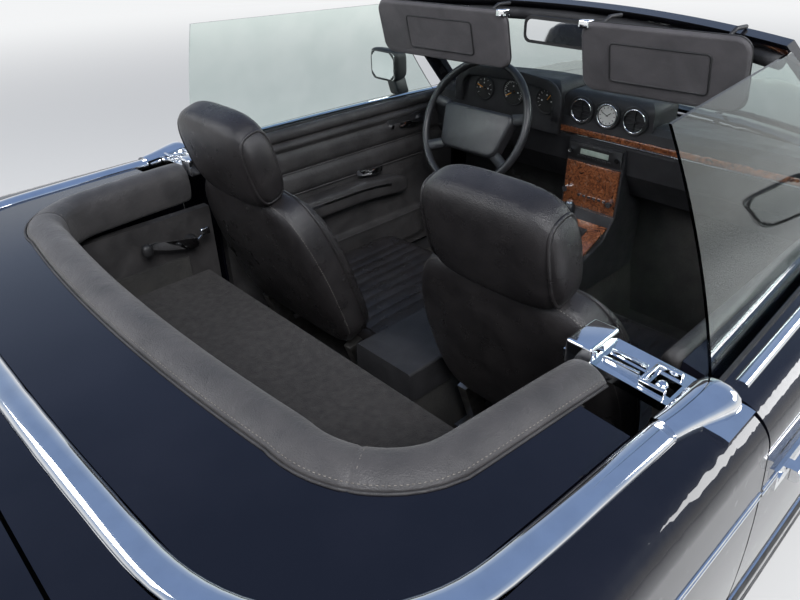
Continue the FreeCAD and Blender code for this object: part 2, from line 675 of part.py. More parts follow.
def lamps():
    depth = body_form(90)
    lens = outer.common(lamp_box(0)).cut(depth).cut(front_arches)
    keep("headlamps", both_sides(lens))
    tail = outer.common(tail_lamp_box(0)).cut(depth).cut(rear_arches)
    rib_pitch = (d.tail_lamp_top - d.tail_lamp_bottom) / d.tail_lamp_ribs
    heights = [d.tail_lamp_bottom + rib_pitch * i for i in range(1, int(d.tail_lamp_ribs))]
    half_groove = d.groove / 2
    behind, ahead = -d.tail_reach - beyond, -d.tail_reach + beyond
    grooves = [box(behind, ahead, 0, beyond, z - half_groove, z + half_groove) for z in heights]
    keep("tail_lamps", both_sides(tail.cut([groove.cut(body_form(d.groove)) for groove in grooves])))


def grille():
    """A frame with horizontal bars, cut to the bow of the nose."""
    body = doc.addObject("PartDesign::Body", "grille_frame")

    def rectangle(inset_y, low, high, ahead):
        left, right = f"grille_half - {inset_y}", f"-grille_half + {inset_y}"
        return outline(body, "YZ_Plane", [(right, low), (left, low), (left, high), (right, high)], ahead)
    feature(body, "Pad", rectangle(0, "grille_bottom", "grille_top", "nose_reach - 68"), "60")
    hole = rectangle(14, "grille_bottom + 12", "grille_top - 12", "nose_reach - 68")
    feature(body, "Pocket", hole, None, True)
    bar_sketch = rectangle(10, "grille_bottom + 34", "grille_bottom + 43", "nose_reach - 58")
    bar = feature(body, "Pad", bar_sketch, "44")
    bars = body.newObject("PartDesign::LinearPattern", "grille_bars")
    bars.Originals = [bar]
    bars.Direction = (bar_sketch, ["V_Axis"])
    bars.Length = 66
    bars.setExpression("Occurrences", cells("grille_bar_count"))
    body.Tip = bars
    bow_tool = bound("Part::Cylinder", "grille_bow", ("nose_reach - nose_sweep - 6", 0, 0),
                     Radius="nose_sweep", Height="belt_height")
    made = doc.addObject("Part::Common", "grille")
    made.Base, made.Tool = body, bow_tool
    node("grille", made)


def bumper(end_x, inner_end_x, label):
    """A bar that runs across the end of the car and round both corners."""
    sense = 1 if end_x > 0 else -1
    half = d.body_half + 2

    def bar_plan(inset):
        e = end_x - sense * inset
        h = half - inset
        corner = 150 - inset
        mid_bow = 34
        a = Vector(inner_end_x, h, 0)
        b = Vector(e - sense * (mid_bow + corner), h, 0)
        c = Vector(e - sense * (mid_bow + corner * 0.27), h - corner * 0.30, 0)
        f = Vector(e - sense * mid_bow * 0.72, h - corner, 0)
        m = Vector(e, 0, 0)
        neg = [Vector(v.x, -v.y, 0) for v in (a, b, c, f)]
        wire = Part.Wire([Part.makeLine(a, b), Part.Arc(b, c, f).toShape(), Part.Arc(f, m, neg[3]).toShape(),
                          Part.Arc(neg[3], neg[2], neg[1]).toShape(), Part.makeLine(neg[1], neg[0]),
                          Part.makeLine(neg[0], a)])
        return Part.Face(wire)
    face = bar_plan(0).cut(bar_plan(d.bumper_depth))
    face.translate(Z * d.bumper_bottom)
    bar = face.extrude(Z * d.bumper_height)
    keep(label, bar.cut(outer))


def sills():
    """Ribbed cladding under each door, one section drawn out between the wheel arches."""
    face, steps = "body_half - 24", 4
    pitch = f"(sill_top - sill_bottom - 22) / {steps}"
    corners = [(f"{face} - 120", "sill_bottom"), (f"{face} - 34", "sill_bottom")]
    for i in range(steps):
        up = f"sill_bottom + 14 + {i} * {pitch}"
        swell = round(12 * math.sin(math.pi * (i + 1) / (steps + 1)), 2)
        crest, foot = f"{face} + {swell}", f"{face} + {swell} - 6"
        corners += [(foot, up), (crest, f"{up} + 4"), (crest, f"{up} + {pitch} - 6"),
                    (foot, f"{up} + {pitch} - 3")]
    corners += [(f"{face} - 8", "sill_top"), (f"{face} - 120", "sill_top")]
    body = doc.addObject("PartDesign::Body", "sill")
    sketch = outline(body, "YZ_Plane", corners, "front_axle_x - wheelbase + arch_radius + 2")
    feature(body, "Pad", sketch, "wheelbase - 2 * arch_radius - 4")
    node("sills", group("sills", body, other_side(body)))


def underbody():
    """Cabin floor with tunnel and bulkheads, engine bay and trunk tub."""
    t = d.floor_wall
    half = d.body_half - 24 - 120
    z = d.floor_height
    floor = box(d.heelboard_x, d.firewall_x, -half, half, z - t, z)
    tunnel_cut = box(d.heelboard_x - 1, d.firewall_x + 1, -d.tunnel_half, d.tunnel_half, z - t - 1, z + 1)
    half_top = d.tunnel_half - 22
    arch = [(-d.tunnel_half - t, z - t), (-half_top, d.tunnel_height), (half_top, d.tunnel_height),
            (d.tunnel_half + t, z - t)]
    inner_arch = [(-d.tunnel_half, z - t - 1), (-half_top + 10, d.tunnel_height - t),
                  (half_top - 10, d.tunnel_height - t), (d.tunnel_half, z - t - 1)]
    run = d.firewall_x - d.heelboard_x

    def hull(points, length, x):
        return prism([Vector(x, y, h) for y, h in points], X * length)
    tunnel = hull(arch, run, d.heelboard_x).cut(hull(inner_arch, run + 2, d.heelboard_x - 1))
    firewall = box(d.firewall_x, d.firewall_x + t, -d.firewall_half, d.firewall_half, z - t, 862)
    firewall = firewall.cut(hull(inner_arch, 3 * t, d.firewall_x - t))
    heel = box(d.heelboard_x - t, d.heelboard_x, -d.wheelhouse_half, d.wheelhouse_half, z - t,
               d.shelf_height - 40)
    heel = heel.cut(hull(inner_arch, 3 * t, d.heelboard_x - 2 * t))
    pan = joined(floor.cut(tunnel_cut), tunnel, firewall, heel)
    keep("floor_pan", pan)

    bay_front = d.nose_reach - 130
    x0 = d.firewall_x + t
    wall = box(x0, bay_front, d.bay_half - t, d.bay_half, 330, 700)
    slam = box(bay_front - t, bay_front, -d.bay_half, d.bay_half, 330, 700)
    slam = slam.cut(box(bay_front - 2 * t, bay_front + t, -d.bay_half + 60, d.bay_half - 60, 380, 660))
    under_skin = body_form(d.wall + d.fit)
    pegs = [cylinder(11, Vector(bay_front - 6, y, 699), Vector(bay_front - 6, y, 900)).common(under_skin)
            for y in (-300, 300)]
    nose_ties = [box(bay_front - 1, d.nose_reach + 20, y - 30, y + 30, 340, 400).common(under_skin)
                 for y in (-400, 400)]
    keep("engine_bay", joined(wall, mirrored(wall), slam, *pegs, *nose_ties))

    tub_rear = -d.tail_reach + d.tail_depth
    tub_front = d.heelboard_x - t
    base = box(tub_rear, tub_front, -d.wheelhouse_half, d.wheelhouse_half, d.trunk_floor - t, d.trunk_floor)
    cheek = box(tub_rear, tub_front, d.wheelhouse_half - t, d.wheelhouse_half, d.trunk_floor - t,
                d.shelf_height + 60)
    tongue = box(-d.tail_reach + 24, tub_rear + 1, -440, 440, d.trunk_floor - t, d.trunk_floor)
    keep("trunk_tub", joined(base, cheek, mirrored(cheek), tongue).cut(pieces["rear_panel"].Shape))


def interior():
    card = d.trim_inner - 6
    half_screen = d.screen_depth / 2 + 4
    section = [(690, 872), (800, 872), (800, 905), (690, 918), (560, 936), (516, 934), (498, 918), (492, 860),
               (505, 780), (560, 700), (664, 690), (664, 872)]
    dash = prism([Vector(x, -card, z) for x, z in section], Y * 2 * card)
    landing = bow(d.glass_base_end_x, d.glass_base_half, d.glass_base_x - d.glass_base_end_x, -48 - d.fit)
    behind_screen = screen_solid(120, 60, half_screen, 500, 60)
    hump = box(480, 640, d.wheel_hub_y - 220, d.wheel_hub_y + 190, 860, d.binnacle_top)
    hump = hump.makeFillet(36, [e for e in hump.Edges if e.BoundBox.ZMin > 900])
    pods = box(500, 640, -162, d.wheel_hub_y - 219, 880, d.binnacle_top - 20)
    pods = pods.makeFillet(30, [e for e in pods.Edges if e.BoundBox.ZMin > 900])
    around = d.screen_depth / 2 + d.fit
    frame_seat = screen_solid(14 + d.fit, 32, around, around, 14 + d.fit)
    keep("dashboard", joined(dash, hump, pods).common(landing).cut([behind_screen, frame_seat]))

    body = doc.addObject("PartDesign::Body", "console_block")
    on_tunnel = "tunnel_height + fit"
    corners = [("506", "858"), ("488", "858"), ("478", "645"), ("430", "585"), ("180", "505"), ("120", "472"),
               ("-90", "472"), ("-130", "520"), ("-420", "520"), ("-420", on_tunnel), ("640", on_tunnel),
               ("640", "660"), ("560", "700")]
    feature(body, "Pad", outline(body, "XZ_Plane", corners), "2 * console_half", True)
    above_tunnel = d.tunnel_height + 30
    rounded(body, "console_round", lambda e: abs(e.tangentAt(0).y) < 0.5 and e.BoundBox.ZMin > above_tunnel)
    node("console", less("console", body, pieces["dashboard"]))
    doc.recompute()

    for side, shift in ((1, 0), (-1, d.passenger_shift)):
        front = d.cushion_front_x + shift
        y = side * d.seat_y
        name = "driver" if side > 0 else "passenger"
        base_z = d.cushion_top - d.cushion_height
        shifted = f"cushion_front_x + {int(side < 0)} * passenger_shift"
        cushion = bound("Part::Box", f"{name}_cushion_block",
                        (f"{shifted} - cushion_length", f"{side} * seat_y - seat_width / 2",
                         "cushion_top - cushion_height"),
                        Length="cushion_length", Width="seat_width", Height="cushion_height")
        doc.recompute()
        soft = cushion.Shape.copy()
        soft = soft.makeFillet(30, soft.Edges)
        seat_shapes.setdefault("seat_cushions", []).append(soft)
        taper = (d.seat_width - d.back_top_width) / 2
        back_sides = ((0, 0), (d.seat_width, 0), (d.seat_width - taper, d.back_length),
                      (taper, d.back_length))
        back = prism([Vector(0, across, up) for across, up in back_sides], X * d.back_thickness)
        back = back.makeFillet(40, back.Edges)
        rest = Part.makeBox(d.back_thickness - 15, d.headrest_width, d.headrest_height + 30,
                            Vector(5, (d.seat_width - d.headrest_width) / 2, d.back_length - 20))
        rest = rest.makeFillet(38, rest.Edges)
        squab = joined(back, rest)
        squab.rotate(Vector(0, 0, 0), Y, -d.back_lean)
        hinge = Vector(front - d.cushion_length - 10 - d.back_thickness * 0.9, y - d.seat_width / 2,
                       d.cushion_top - 18)
        squab.translate(hinge)
        seat_shapes.setdefault("seat_backs", []).append(squab)
        for across in (-200, 200):
            rail = box(front - d.cushion_length - 100, front - 60, y + across - 14, y + across + 14,
                       d.floor_height + d.fit, base_z - d.fit)
            arm = Part.makeBox(46, 28, 190, Vector(22, d.seat_width / 2 + across - 14, -190 - d.fit))
            arm.rotate(Vector(0, 0, 0), Y, -d.back_lean)
            arm.translate(hinge)
            rail = joined(rail, arm.cut(box(-2000, 2000, -900, 900, 0, d.floor_height + d.fit)).cut(soft))
            seat_shapes.setdefault("seat_frames", []).append(rail)
    for label, shapes in seat_shapes.items():
        keep(label, Part.makeCompound(shapes))

    shelf_front, shelf_rear = d.heelboard_x + 40, d.roll_inner_x
    top = d.shelf_height
    half = d.wheelhouse_half - d.floor_wall - d.fit
    shelf = box(shelf_rear, shelf_front, -half, half, top - 16, top)
    under_pad = d.belt_height - d.pad_drop - d.seam
    back_wall = box(shelf_rear - 12, shelf_rear, -half, half, top - 16, under_pad - 8)
    lip = box(shelf_front - 14, shelf_front, -half, half, top - 60, top)
    keep("luggage_shelf", joined(shelf, back_wall, lip))
    trim = box(d.roll_inner_x, d.door_rear_x - 56, d.wheelhouse_half + d.fit, d.wheelhouse_half + 26,
               d.floor_height + d.fit, under_pad)
    keep("rear_side_trim", both_sides(trim))

    visors = []
    for y0, y1 in ((95, 540), (-540, -95)):
        visor = Part.makeBox(12, y1 - y0, 165)
        broad_edges = [e for e in visor.Edges if e.Length > 20 and abs(e.tangentAt(0).x) < 0.5]
        visor = visor.makeFillet(5.9, broad_edges)
        visor.rotate(Vector(0, 0, 0), Y, 16)
        visor.translate(Vector(122, y0, 1082))
        rods = [cylinder(4, Vector(164, y, 1228), Vector(250, y, 1256)) for y in (y0 + 60, y1 - 60)]
        trimmed = joined(visor, *rods).cut(pieces["windscreen_frame"].Shape)
        visors.append(max(trimmed.Solids, key=lambda solid: solid.Volume))
    keep("sun_visors", Part.makeCompound(visors))
    header = pieces["windscreen_frame"].Shape
    stem = cylinder(6, Vector(292, -12, 1254), Vector(212, -12, 1222))
    glass = box(196, 216, -112, 88, 1186, 1248)
    keep("interior_mirror", joined(glass, stem).cut(header))


seat_shapes = {}


def steering():
    ring = bound("Part::Torus", "wheel_ring", Radius1="wheel_ring_radius", Radius2="wheel_ring_section")
    hub = bound("Part::Cylinder", "wheel_hub", (0, 0, -48), Radius=38, Height=40)
    pad = doc.addObject("PartDesign::Body", "wheel_pad")
    shield = outline(pad, "XY_Plane", [("53", "148"), ("53", "-148"), ("-92", "-112"), ("-92", "112")], -30)
    feature(pad, "Pad", shield, 34)
    rounded(pad, "26", lambda e: abs(e.tangentAt(0).z) > 0.9)
    rounded(pad, "9", lambda e: e.BoundBox.ZMin > 3)
    reach = "wheel_ring_radius"
    spokes = []
    for name, inner, outer_end in (("upper", (28, 62, 130), (34, 66, "0.95 * " + reach)),
                                   ("lower", (-92, -60, 96), (-118, -88, "0.80 * " + reach))):
        spoke = doc.addObject("PartDesign::Body", f"{name}_spoke")
        low, high, out = inner
        end_low, end_high, end_out = outer_end
        corners = [(low, out), (high, out), (end_high, end_out), (end_low, end_out)]
        flat = outline(spoke, "XY_Plane", corners, -17)
        feature(spoke, "Pad", flat, 15)
        spokes += [spoke, other_side(spoke)]
    column_turn = Rotation(Y, d.column_tilt - 90)
    centre = Vector(d.wheel_hub_x, d.wheel_hub_y, d.wheel_hub_z)
    spot = FreeCAD.Placement(centre, column_turn)
    wheel = node("steering_wheel", fused("steering_wheel", ring, hub, pad, *spokes))
    wheel.Placement = spot
    doc.recompute()
    column = joined(Part.makeCylinder(34, 200, Vector(0, 0, -254)),
                    Part.makeCylinder(16, 6, Vector(0, 0, -54.3)))
    column = column.transformed(spot.toMatrix())
    keep("steering_column", column.cut(pieces["dashboard"].Shape))


def wheels():
    """Tyre, slotted rim and brake disc, each a turned body, set at the four corners."""
    r, R, half, w = "rim_radius", "tyre_radius", "tyre_width / 2", "rim_width / 2"
    bead = f"{w} - 10.5"
    wall = [(bead, f"{r} + fit"), (bead, f"{r} + 14"), (f"{half} - 6", f"{r} + 26"), (half, f"{r} + 62"),
            (f"{half} - 3", f"{R} - 34"), (f"{half} - 20", f"{R} - 8"), (f"{half} - 40", R)]
    tyre = revolved("tyre", [(f"-({y})", z) for y, z in wall] + wall[::-1])
    rim = revolved("rim", (
        (w, f"{r} + 12"), (f"{w} - 10", f"{r} + 12"), (f"{w} - 10", r), (f"{w} - 42", r),
        (f"{w} - 52", f"{r} - 18"), (f"-{w} + 52", f"{r} - 18"), (f"-{w} + 37", r), (f"-{w} + 10", r),
        (f"-{w} + 10", f"{r} + 12"), (f"-{w}", f"{r} + 12"), (f"-{w}", f"{r} - 6"), (f"-{w} + 30", f"{r} - 26"),
        (18, f"{r} - 26"), (24, 70), (22, 60), (22, 34), (45, 34), (52, 60), (40, 125), (54, f"{r} - 14"),
        (f"{w} - 4", f"{r} - 4")))
    window = outline(rim, "XZ_Plane", ((-11, 96), (11, 96), (14, 136), (-14, 136)))
    slot = feature(rim, "Pocket", window, None, True)
    slots = rim.newObject("PartDesign::PolarPattern", "rim_windows")
    slots.Originals = [slot]
    slots.Axis = (window, ["N_Axis"])
    slots.Angle = 360
    slots.setExpression("Occurrences", cells("rim_slots"))
    rim.Tip = slots
    bore, face = "stub_radius + fit", "22 - fit"
    disc = revolved("disc", ((-30, bore), (face, bore), (face, "hub_pitch + 10"), (-2, "hub_pitch + 14"),
                             (-2, "disc_radius"), (-22, "disc_radius"), (-22, 60), (-30, 50)))
    for name, x, track, sense in (("front_left", d.front_axle_x, d.track_front, 1),
                                  ("front_right", d.front_axle_x, d.track_front, -1),
                                  ("rear_left", rear_axle_x, d.track_rear, 1),
                                  ("rear_right", rear_axle_x, d.track_rear, -1)):
        facing = Rotation(Z, 0 if sense > 0 else 180)
        spot = FreeCAD.Placement(Vector(x, sense * track / 2, d.tyre_radius), facing)
        node(f"tyre_{name}", group(f"tyre_{name}", tyre)).Placement = spot
        node(f"rim_{name}", group(f"rim_{name}", rim, disc)).Placement = spot


def axles():
    x, z = d.front_axle_x, d.tyre_radius
    pin_y = d.steer_pin_y
    axle, pin, outward = "front_axle_x", "steer_pin_y", Rotation(X, -90)
    stub = bound("Part::Cylinder", "stub_axle", (axle, pin, "tyre_radius"), outward, Radius="stub_radius",
                 Height="track_front / 2 + 20 - steer_pin_y")
    flange = bound("Part::Cylinder", "stub_flange", (axle, f"{pin} + 10", "tyre_radius"), outward,
                   Radius=36, Height=16)
    king_pin = bound("Part::Cylinder", "king_pin", (axle, pin, "lower_arm_z - 16"), Radius="pin_radius",
                     Height="upper_arm_z - lower_arm_z + 32")
    upright = block("upright", f"{axle} - 26", f"{axle} + 26", f"{pin} - 20", f"{pin} + 16",
                    "lower_arm_z + 24", "upper_arm_z - 24")
    knuckle = node("knuckle_left", fused("knuckle_left", upright, stub, king_pin, flange))
    node("knuckle_right", other_side(knuckle))

    t = d.arm_thickness
    arms = []
    for height, root_y, spread in ((d.lower_arm_z, 330, 150), (d.upper_arm_z, d.bay_half + d.fit, 90)):
        under = height - t / 2
        eye = cylinder(22, Vector(x, pin_y, under), Vector(x, pin_y, under + t))
        wishbone = ((-16, pin_y), (16, pin_y), (spread, root_y), (spread - 36, root_y), (0, pin_y - 80),
                    (36 - spread, root_y), (-spread, root_y))
        leg = prism([Vector(x + along, across, under) for along, across in wishbone], Z * t)
        arms.append(joined(leg, eye).cut(cylinder(d.pin_radius + d.fit, Vector(x, pin_y, height - t),
                                                  Vector(x, pin_y, height + t))))
    beam = box(x - 60, x + 60, -d.bay_half, d.bay_half, d.lower_arm_z - 30, d.lower_arm_z + 26)
    towers = [box(x - 50, x + 50, s * d.bay_half - 30, s * d.bay_half + 30, d.lower_arm_z + 25, 330 - d.fit)
              for s in (1, -1)]
    lower, upper = arms
    carrier = joined(beam, lower, mirrored(lower), *towers)
    keep("front_axle", Part.makeCompound([carrier, upper, mirrored(upper)]))

    rx = rear_axle_x
    hub_y = d.track_rear / 2
    half_shaft = joined(cylinder(d.stub_radius, Vector(rx, -hub_y - 20, z), Vector(rx, hub_y + 20, z)),
                        cylinder(34, Vector(rx, 60, z), Vector(rx, hub_y - 38, z)),
                        cylinder(34, Vector(rx, -60, z), Vector(rx, -hub_y + 38, z)))
    diff = cylinder(105, Vector(rx, -95, z - 20), Vector(rx, 95, z - 20))
    diff = diff.common(box(rx - 140, rx + 140, -100, 100, 190, d.trunk_floor - d.floor_wall - 6))
    beam = box(rx + 90, rx + 170, -560, 560, 215, 275)
    seats = [box(rx + 100, rx + 150, s * 540 - 20, s * 540 + 20, 274, d.trunk_floor - d.floor_wall - d.fit)
             for s in (1, -1)]
    arm = prism([Vector(rx - 40, hub_y - 150, 250), Vector(rx + 160, 300, 250), Vector(rx + 160, 520, 250),
                 Vector(rx + 40, hub_y - 120, 250)], Z * 40)
    nose = box(rx, rx + 120, -40, 40, 235, 300)
    keep("rear_axle", joined(half_shaft, diff, beam, arm, mirrored(arm), nose, *seats))


def drivetrain():
    ex = d.engine_rear_x
    crankcase = block("engine_block", "engine_rear_x", "engine_rear_x + engine_length", "-engine_width / 2",
                      "engine_width / 2", "engine_bottom + 60", "engine_bottom + 60 + engine_height")
    gearbox = joined(box(60, ex, -66, 66, d.engine_bottom + 10, d.tunnel_height - 50),
                     box(d.firewall_x + 20, ex, -150, 150, d.engine_bottom + 10, d.tunnel_height + 40))
    doc.recompute()
    sump = box(ex + 20, ex + 400, -130, 130, d.engine_bottom, d.engine_bottom + 62)
    mount_half = d.bay_half - d.floor_wall - d.fit
    mounts = box(ex + 250, ex + 330, -mount_half, mount_half, 380, 420)
    shaft = cylinder(30, Vector(rear_axle_x + 100, 0, 300), Vector(62, 0, 320))
    engine = joined(crankcase.Shape, gearbox.cut(crankcase.Shape), sump, mounts, shaft)
    keep("engine", engine.cut(pieces["rear_axle"].Shape))
    y, z, r = d.pipe_y, d.pipe_z, d.pipe_radius
    front, tail = d.engine_rear_x + 100, -d.tail_reach - 10
    run = cylinder(r, Vector(front, y, z), Vector(tail, y, z))
    box_front = box(-420, 120, y - 110, y + 110, z - 45, z + 45)
    box_rear = box(rear_axle_x - 790, rear_axle_x - 390, y - 160, y + 160, z - 10, z + 120)
    box_front = box_front.makeFillet(40, [e for e in box_front.Edges if abs(e.tangentAt(0).x) > 0.9])
    box_rear = box_rear.makeFillet(50, [e for e in box_rear.Edges if abs(e.tangentAt(0).x) > 0.9])
    hanger = box(-60, -40, y - 12, y + 12, z, d.floor_height - d.floor_wall - d.fit)
    under_tub = d.trunk_floor - d.floor_wall - d.fit
    strap = box(rear_axle_x - 590, rear_axle_x - 570, y - 12, y + 12, z + 100, under_tub)
    keep("exhaust", joined(run, box_front, box_rear, hanger, strap))


def lock_plates():
    """Chrome plates on the rear door posts, with the sockets for the soft top's pins."""
    x0, x1 = d.plate_front_x - d.plate_length, d.plate_front_x
    zone = box(x0, x1, 584, d.cover_half_front + 40, 850, 1000)
    plate = proud_shell.common(zone).cut(body_form(8))
    under_plate, over_plate = 800, 1000
    slot_start, slot_width, slot_inner, slot_outer = 30, 12, 640, 700
    socket_start, socket_width, socket_inner, socket_outer = 18, 38, 716, 752
    slot = box(x0 + slot_start, x0 + slot_start + slot_width, slot_inner, slot_outer, under_plate, over_plate)
    socket = box(x0 + socket_start, x0 + socket_start + socket_width, socket_inner, socket_outer,
                 under_plate, over_plate)
    plates = both_sides(plate.cut([slot, socket]))
    keep("lock_plates", plates.cut(pieces["rear_quarters"].Shape))


front_end()
rear_end()
doors()
windscreen()
lamps()
grille()
bumper(d.nose_reach + d.front_standoff, d.front_axle_x + d.arch_radius + 22, "front_bumper")
bumper(-d.tail_reach - d.rear_standoff, rear_axle_x - d.arch_radius - 22, "rear_bumper")
sills()
underbody()
interior()
steering()
wheels()
axles()
drivetrain()
lock_plates()

os.makedirs("parts", exist_ok=True)
doc.recompute()
failed = [made.Name for made in doc.Objects if {"Invalid", "Error"} & set(made.State)]
if failed:
    raise RuntimeError(f"these objects failed: {failed}")
for label, piece in pieces.items():
    shape = piece.Shape
    if shape.isNull() or not shape.isValid():
        raise RuntimeError(f"{label} is not a valid solid")
    print(f"{label}: {len(shape.Solids)} solids, {shape.Volume / 1e6:.2f} litres")
    shape.exportStep(f"parts/{label}.step")
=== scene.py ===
# %% [markdown]
# # An open two-seat car
# This lesson dresses a car that another program has already drawn as plain solids. The solids set
# every size and place. Here each one gets a real finish, and soft or finely made pieces, which plain
# solids can't show, are modelled over them. All lengths are in metres: +X points forward along the
# car, +Y to the driver's left and +Z up, and the ground is at z = 0.

# %% Load the solids
import json
import math

import bmesh
import bpy
from mathutils import Matrix, Vector
from mathutils.bvhtree import BVHTree

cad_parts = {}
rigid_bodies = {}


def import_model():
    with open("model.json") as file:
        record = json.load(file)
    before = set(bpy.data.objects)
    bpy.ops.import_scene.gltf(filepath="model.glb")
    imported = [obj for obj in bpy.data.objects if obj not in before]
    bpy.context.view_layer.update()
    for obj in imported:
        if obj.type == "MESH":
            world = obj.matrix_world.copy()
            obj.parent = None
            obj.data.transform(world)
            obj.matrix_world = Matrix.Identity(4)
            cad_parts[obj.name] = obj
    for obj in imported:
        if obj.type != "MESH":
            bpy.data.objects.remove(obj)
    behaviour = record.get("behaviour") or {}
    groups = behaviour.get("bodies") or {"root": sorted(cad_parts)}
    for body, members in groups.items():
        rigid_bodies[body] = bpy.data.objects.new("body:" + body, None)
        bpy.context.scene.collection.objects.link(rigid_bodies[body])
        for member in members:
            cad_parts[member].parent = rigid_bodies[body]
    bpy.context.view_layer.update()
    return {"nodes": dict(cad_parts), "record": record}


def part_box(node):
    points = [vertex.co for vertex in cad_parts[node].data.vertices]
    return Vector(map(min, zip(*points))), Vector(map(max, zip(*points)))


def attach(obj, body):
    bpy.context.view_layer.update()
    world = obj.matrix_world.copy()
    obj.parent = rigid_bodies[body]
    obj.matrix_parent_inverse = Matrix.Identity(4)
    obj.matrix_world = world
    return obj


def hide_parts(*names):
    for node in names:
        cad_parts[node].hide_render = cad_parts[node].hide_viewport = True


for left_over in list(bpy.data.objects):
    bpy.data.objects.remove(left_over, do_unlink=True)
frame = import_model()
nodes = frame["nodes"]

# %% [markdown]
# ## Directions and matrices
# A few short names save many long lines. The car's own directions are unit vectors, the two sides have
# a sign and a word, and a matrix is made by saying where to move or how far to turn. Matrices are read
# from right to left: a shape is first turned and then moved by `moved(...) @ turned(...)`.

# %% Directions and matrices
FORWARD, UP = Vector((1, 0, 0)), Vector((0, 0, 1))
SIDES = ((1, "left"), (-1, "right"))


def moved(*place):
    """A matrix that moves to a place."""
    return Matrix.Translation(place)


def turned(axis, degrees):
    """A matrix that turns about one axis."""
    return Matrix.Rotation(math.radians(degrees), 4, axis)


def middle_of(node):
    """The middle of a solid's box."""
    low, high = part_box(node)
    return (low + high) / 2


FRONT_AXLE, REAR_AXLE = middle_of("rim_front_left").x, middle_of("rim_rear_left").x
AXLE_HEIGHT = middle_of("rim_front_left").z
print("wheelbase", round(FRONT_AXLE - REAR_AXLE, 3), "m, axles", round(AXLE_HEIGHT, 3), "m up")

# %% [markdown]
# ## The camera
# The picture is taken from high behind the right rear corner of the deck, with a wide lens and the
# camera tipped down by about 31 degrees. A camera looks along its own -Z axis, so the matrix below is
# made of three axes: where it looks, its right, and its up. A small roll turns the last two.

# %% Camera
YAW, PITCH, CAMERA_ROLL = 0.8179, 0.5441, 0.0219
EYE = (-1.3134, -1.0245, 1.5132)
LENS, SENSOR = 29.88, 36
look = Vector((math.cos(YAW) * math.cos(PITCH), math.sin(YAW) * math.cos(PITCH), -math.sin(PITCH)))
level_right = look.cross(UP).normalized()
level_down = look.cross(level_right)
right = math.cos(CAMERA_ROLL) * level_right + math.sin(CAMERA_ROLL) * level_down
up = math.sin(CAMERA_ROLL) * level_right - math.cos(CAMERA_ROLL) * level_down
camera = bpy.data.objects.new("camera", bpy.data.cameras.new("camera"))
camera.data.lens, camera.data.sensor_width = LENS, SENSOR
camera.matrix_world = moved(*EYE) @ Matrix((right, up, -look)).transposed().to_4x4()
bpy.context.scene.collection.objects.link(camera)
bpy.context.scene.camera = camera
print("camera", round(EYE[2], 2), "m above the ground")

# %% [markdown]
# ## Floor, lamps and sky
# Black paint and chrome show little but what they mirror. So the light comes from large soft panels,
# whose long edges draw the curves of the hood and the deck, and a pale sky fills the rest. The floor is
# one big disc, made by a single operator. Far from the car it fades into the backdrop's own colour.

# %% Floor
FLOOR_RADIUS, FADE_START, FADE_END = 60, 3.2, 11.0
BACKDROP = (0.90, 0.91, 0.92, 1)


def fill(node, values):
    """Set some inputs of a node: each value is a socket's name and what it gets."""
    for socket, value in values:
        node.inputs[socket].default_value = value


def add(tree, kind, values=()):
    """A new node, with the values of some of its inputs."""
    node = tree.nodes.new("ShaderNode" + kind)
    fill(node, values)
    return node


def join(tree, *pairs):
    """Join sockets: each pair is an output and the input that it feeds."""
    for output, socket in pairs:
        tree.links.new(output, socket)


floor_mesh = bpy.data.meshes.new("floor")
bm = bmesh.new()
bmesh.ops.create_circle(bm, cap_ends=True, segments=96, radius=FLOOR_RADIUS)
bm.to_mesh(floor_mesh)
bm.free()
floor = bpy.data.objects.new("floor", floor_mesh)
bpy.context.scene.collection.objects.link(floor)
floor_finish = bpy.data.materials.new("pale floor")
floor_finish.use_nodes = True
tree = floor_finish.node_tree
floor_shader = tree.nodes["Principled BSDF"]
fill(floor_shader, (("Base Color", (0.66, 0.66, 0.66, 1)), ("Roughness", 0.85)))
far_glow = add(tree, "Emission", [("Color", BACKDROP)])
place, seen, fading = add(tree, "TexCoord"), add(tree, "LightPath"), add(tree, "MixShader")
from_middle = add(tree, "VectorMath")
from_middle.operation = "LENGTH"
far = add(tree, "MapRange", (("From Min", FADE_START), ("From Max", FADE_END)))
far.interpolation_type = "SMOOTHSTEP"
seen_or_mirrored, amount = add(tree, "Math"), add(tree, "Math")
seen_or_mirrored.operation, amount.operation = "MAXIMUM", "MULTIPLY"
join(tree,
     (place.outputs["Object"], from_middle.inputs[0]),
     (from_middle.outputs["Value"], far.inputs["Value"]),
     (seen.outputs["Is Camera Ray"], seen_or_mirrored.inputs[0]),
     (seen.outputs["Is Glossy Ray"], seen_or_mirrored.inputs[1]),
     (far.outputs["Result"], amount.inputs[0]),
     (seen_or_mirrored.outputs["Value"], amount.inputs[1]),
     (amount.outputs["Value"], fading.inputs["Fac"]),
     (floor_shader.outputs["BSDF"], fading.inputs[1]),
     (far_glow.outputs["Emission"], fading.inputs[2]),
     (fading.outputs["Shader"], tree.nodes["Material Output"].inputs["Surface"]))
floor_mesh.materials.append(floor_finish)
print("floor", 2 * FLOOR_RADIUS, "m across, fading from", FADE_START, "m")

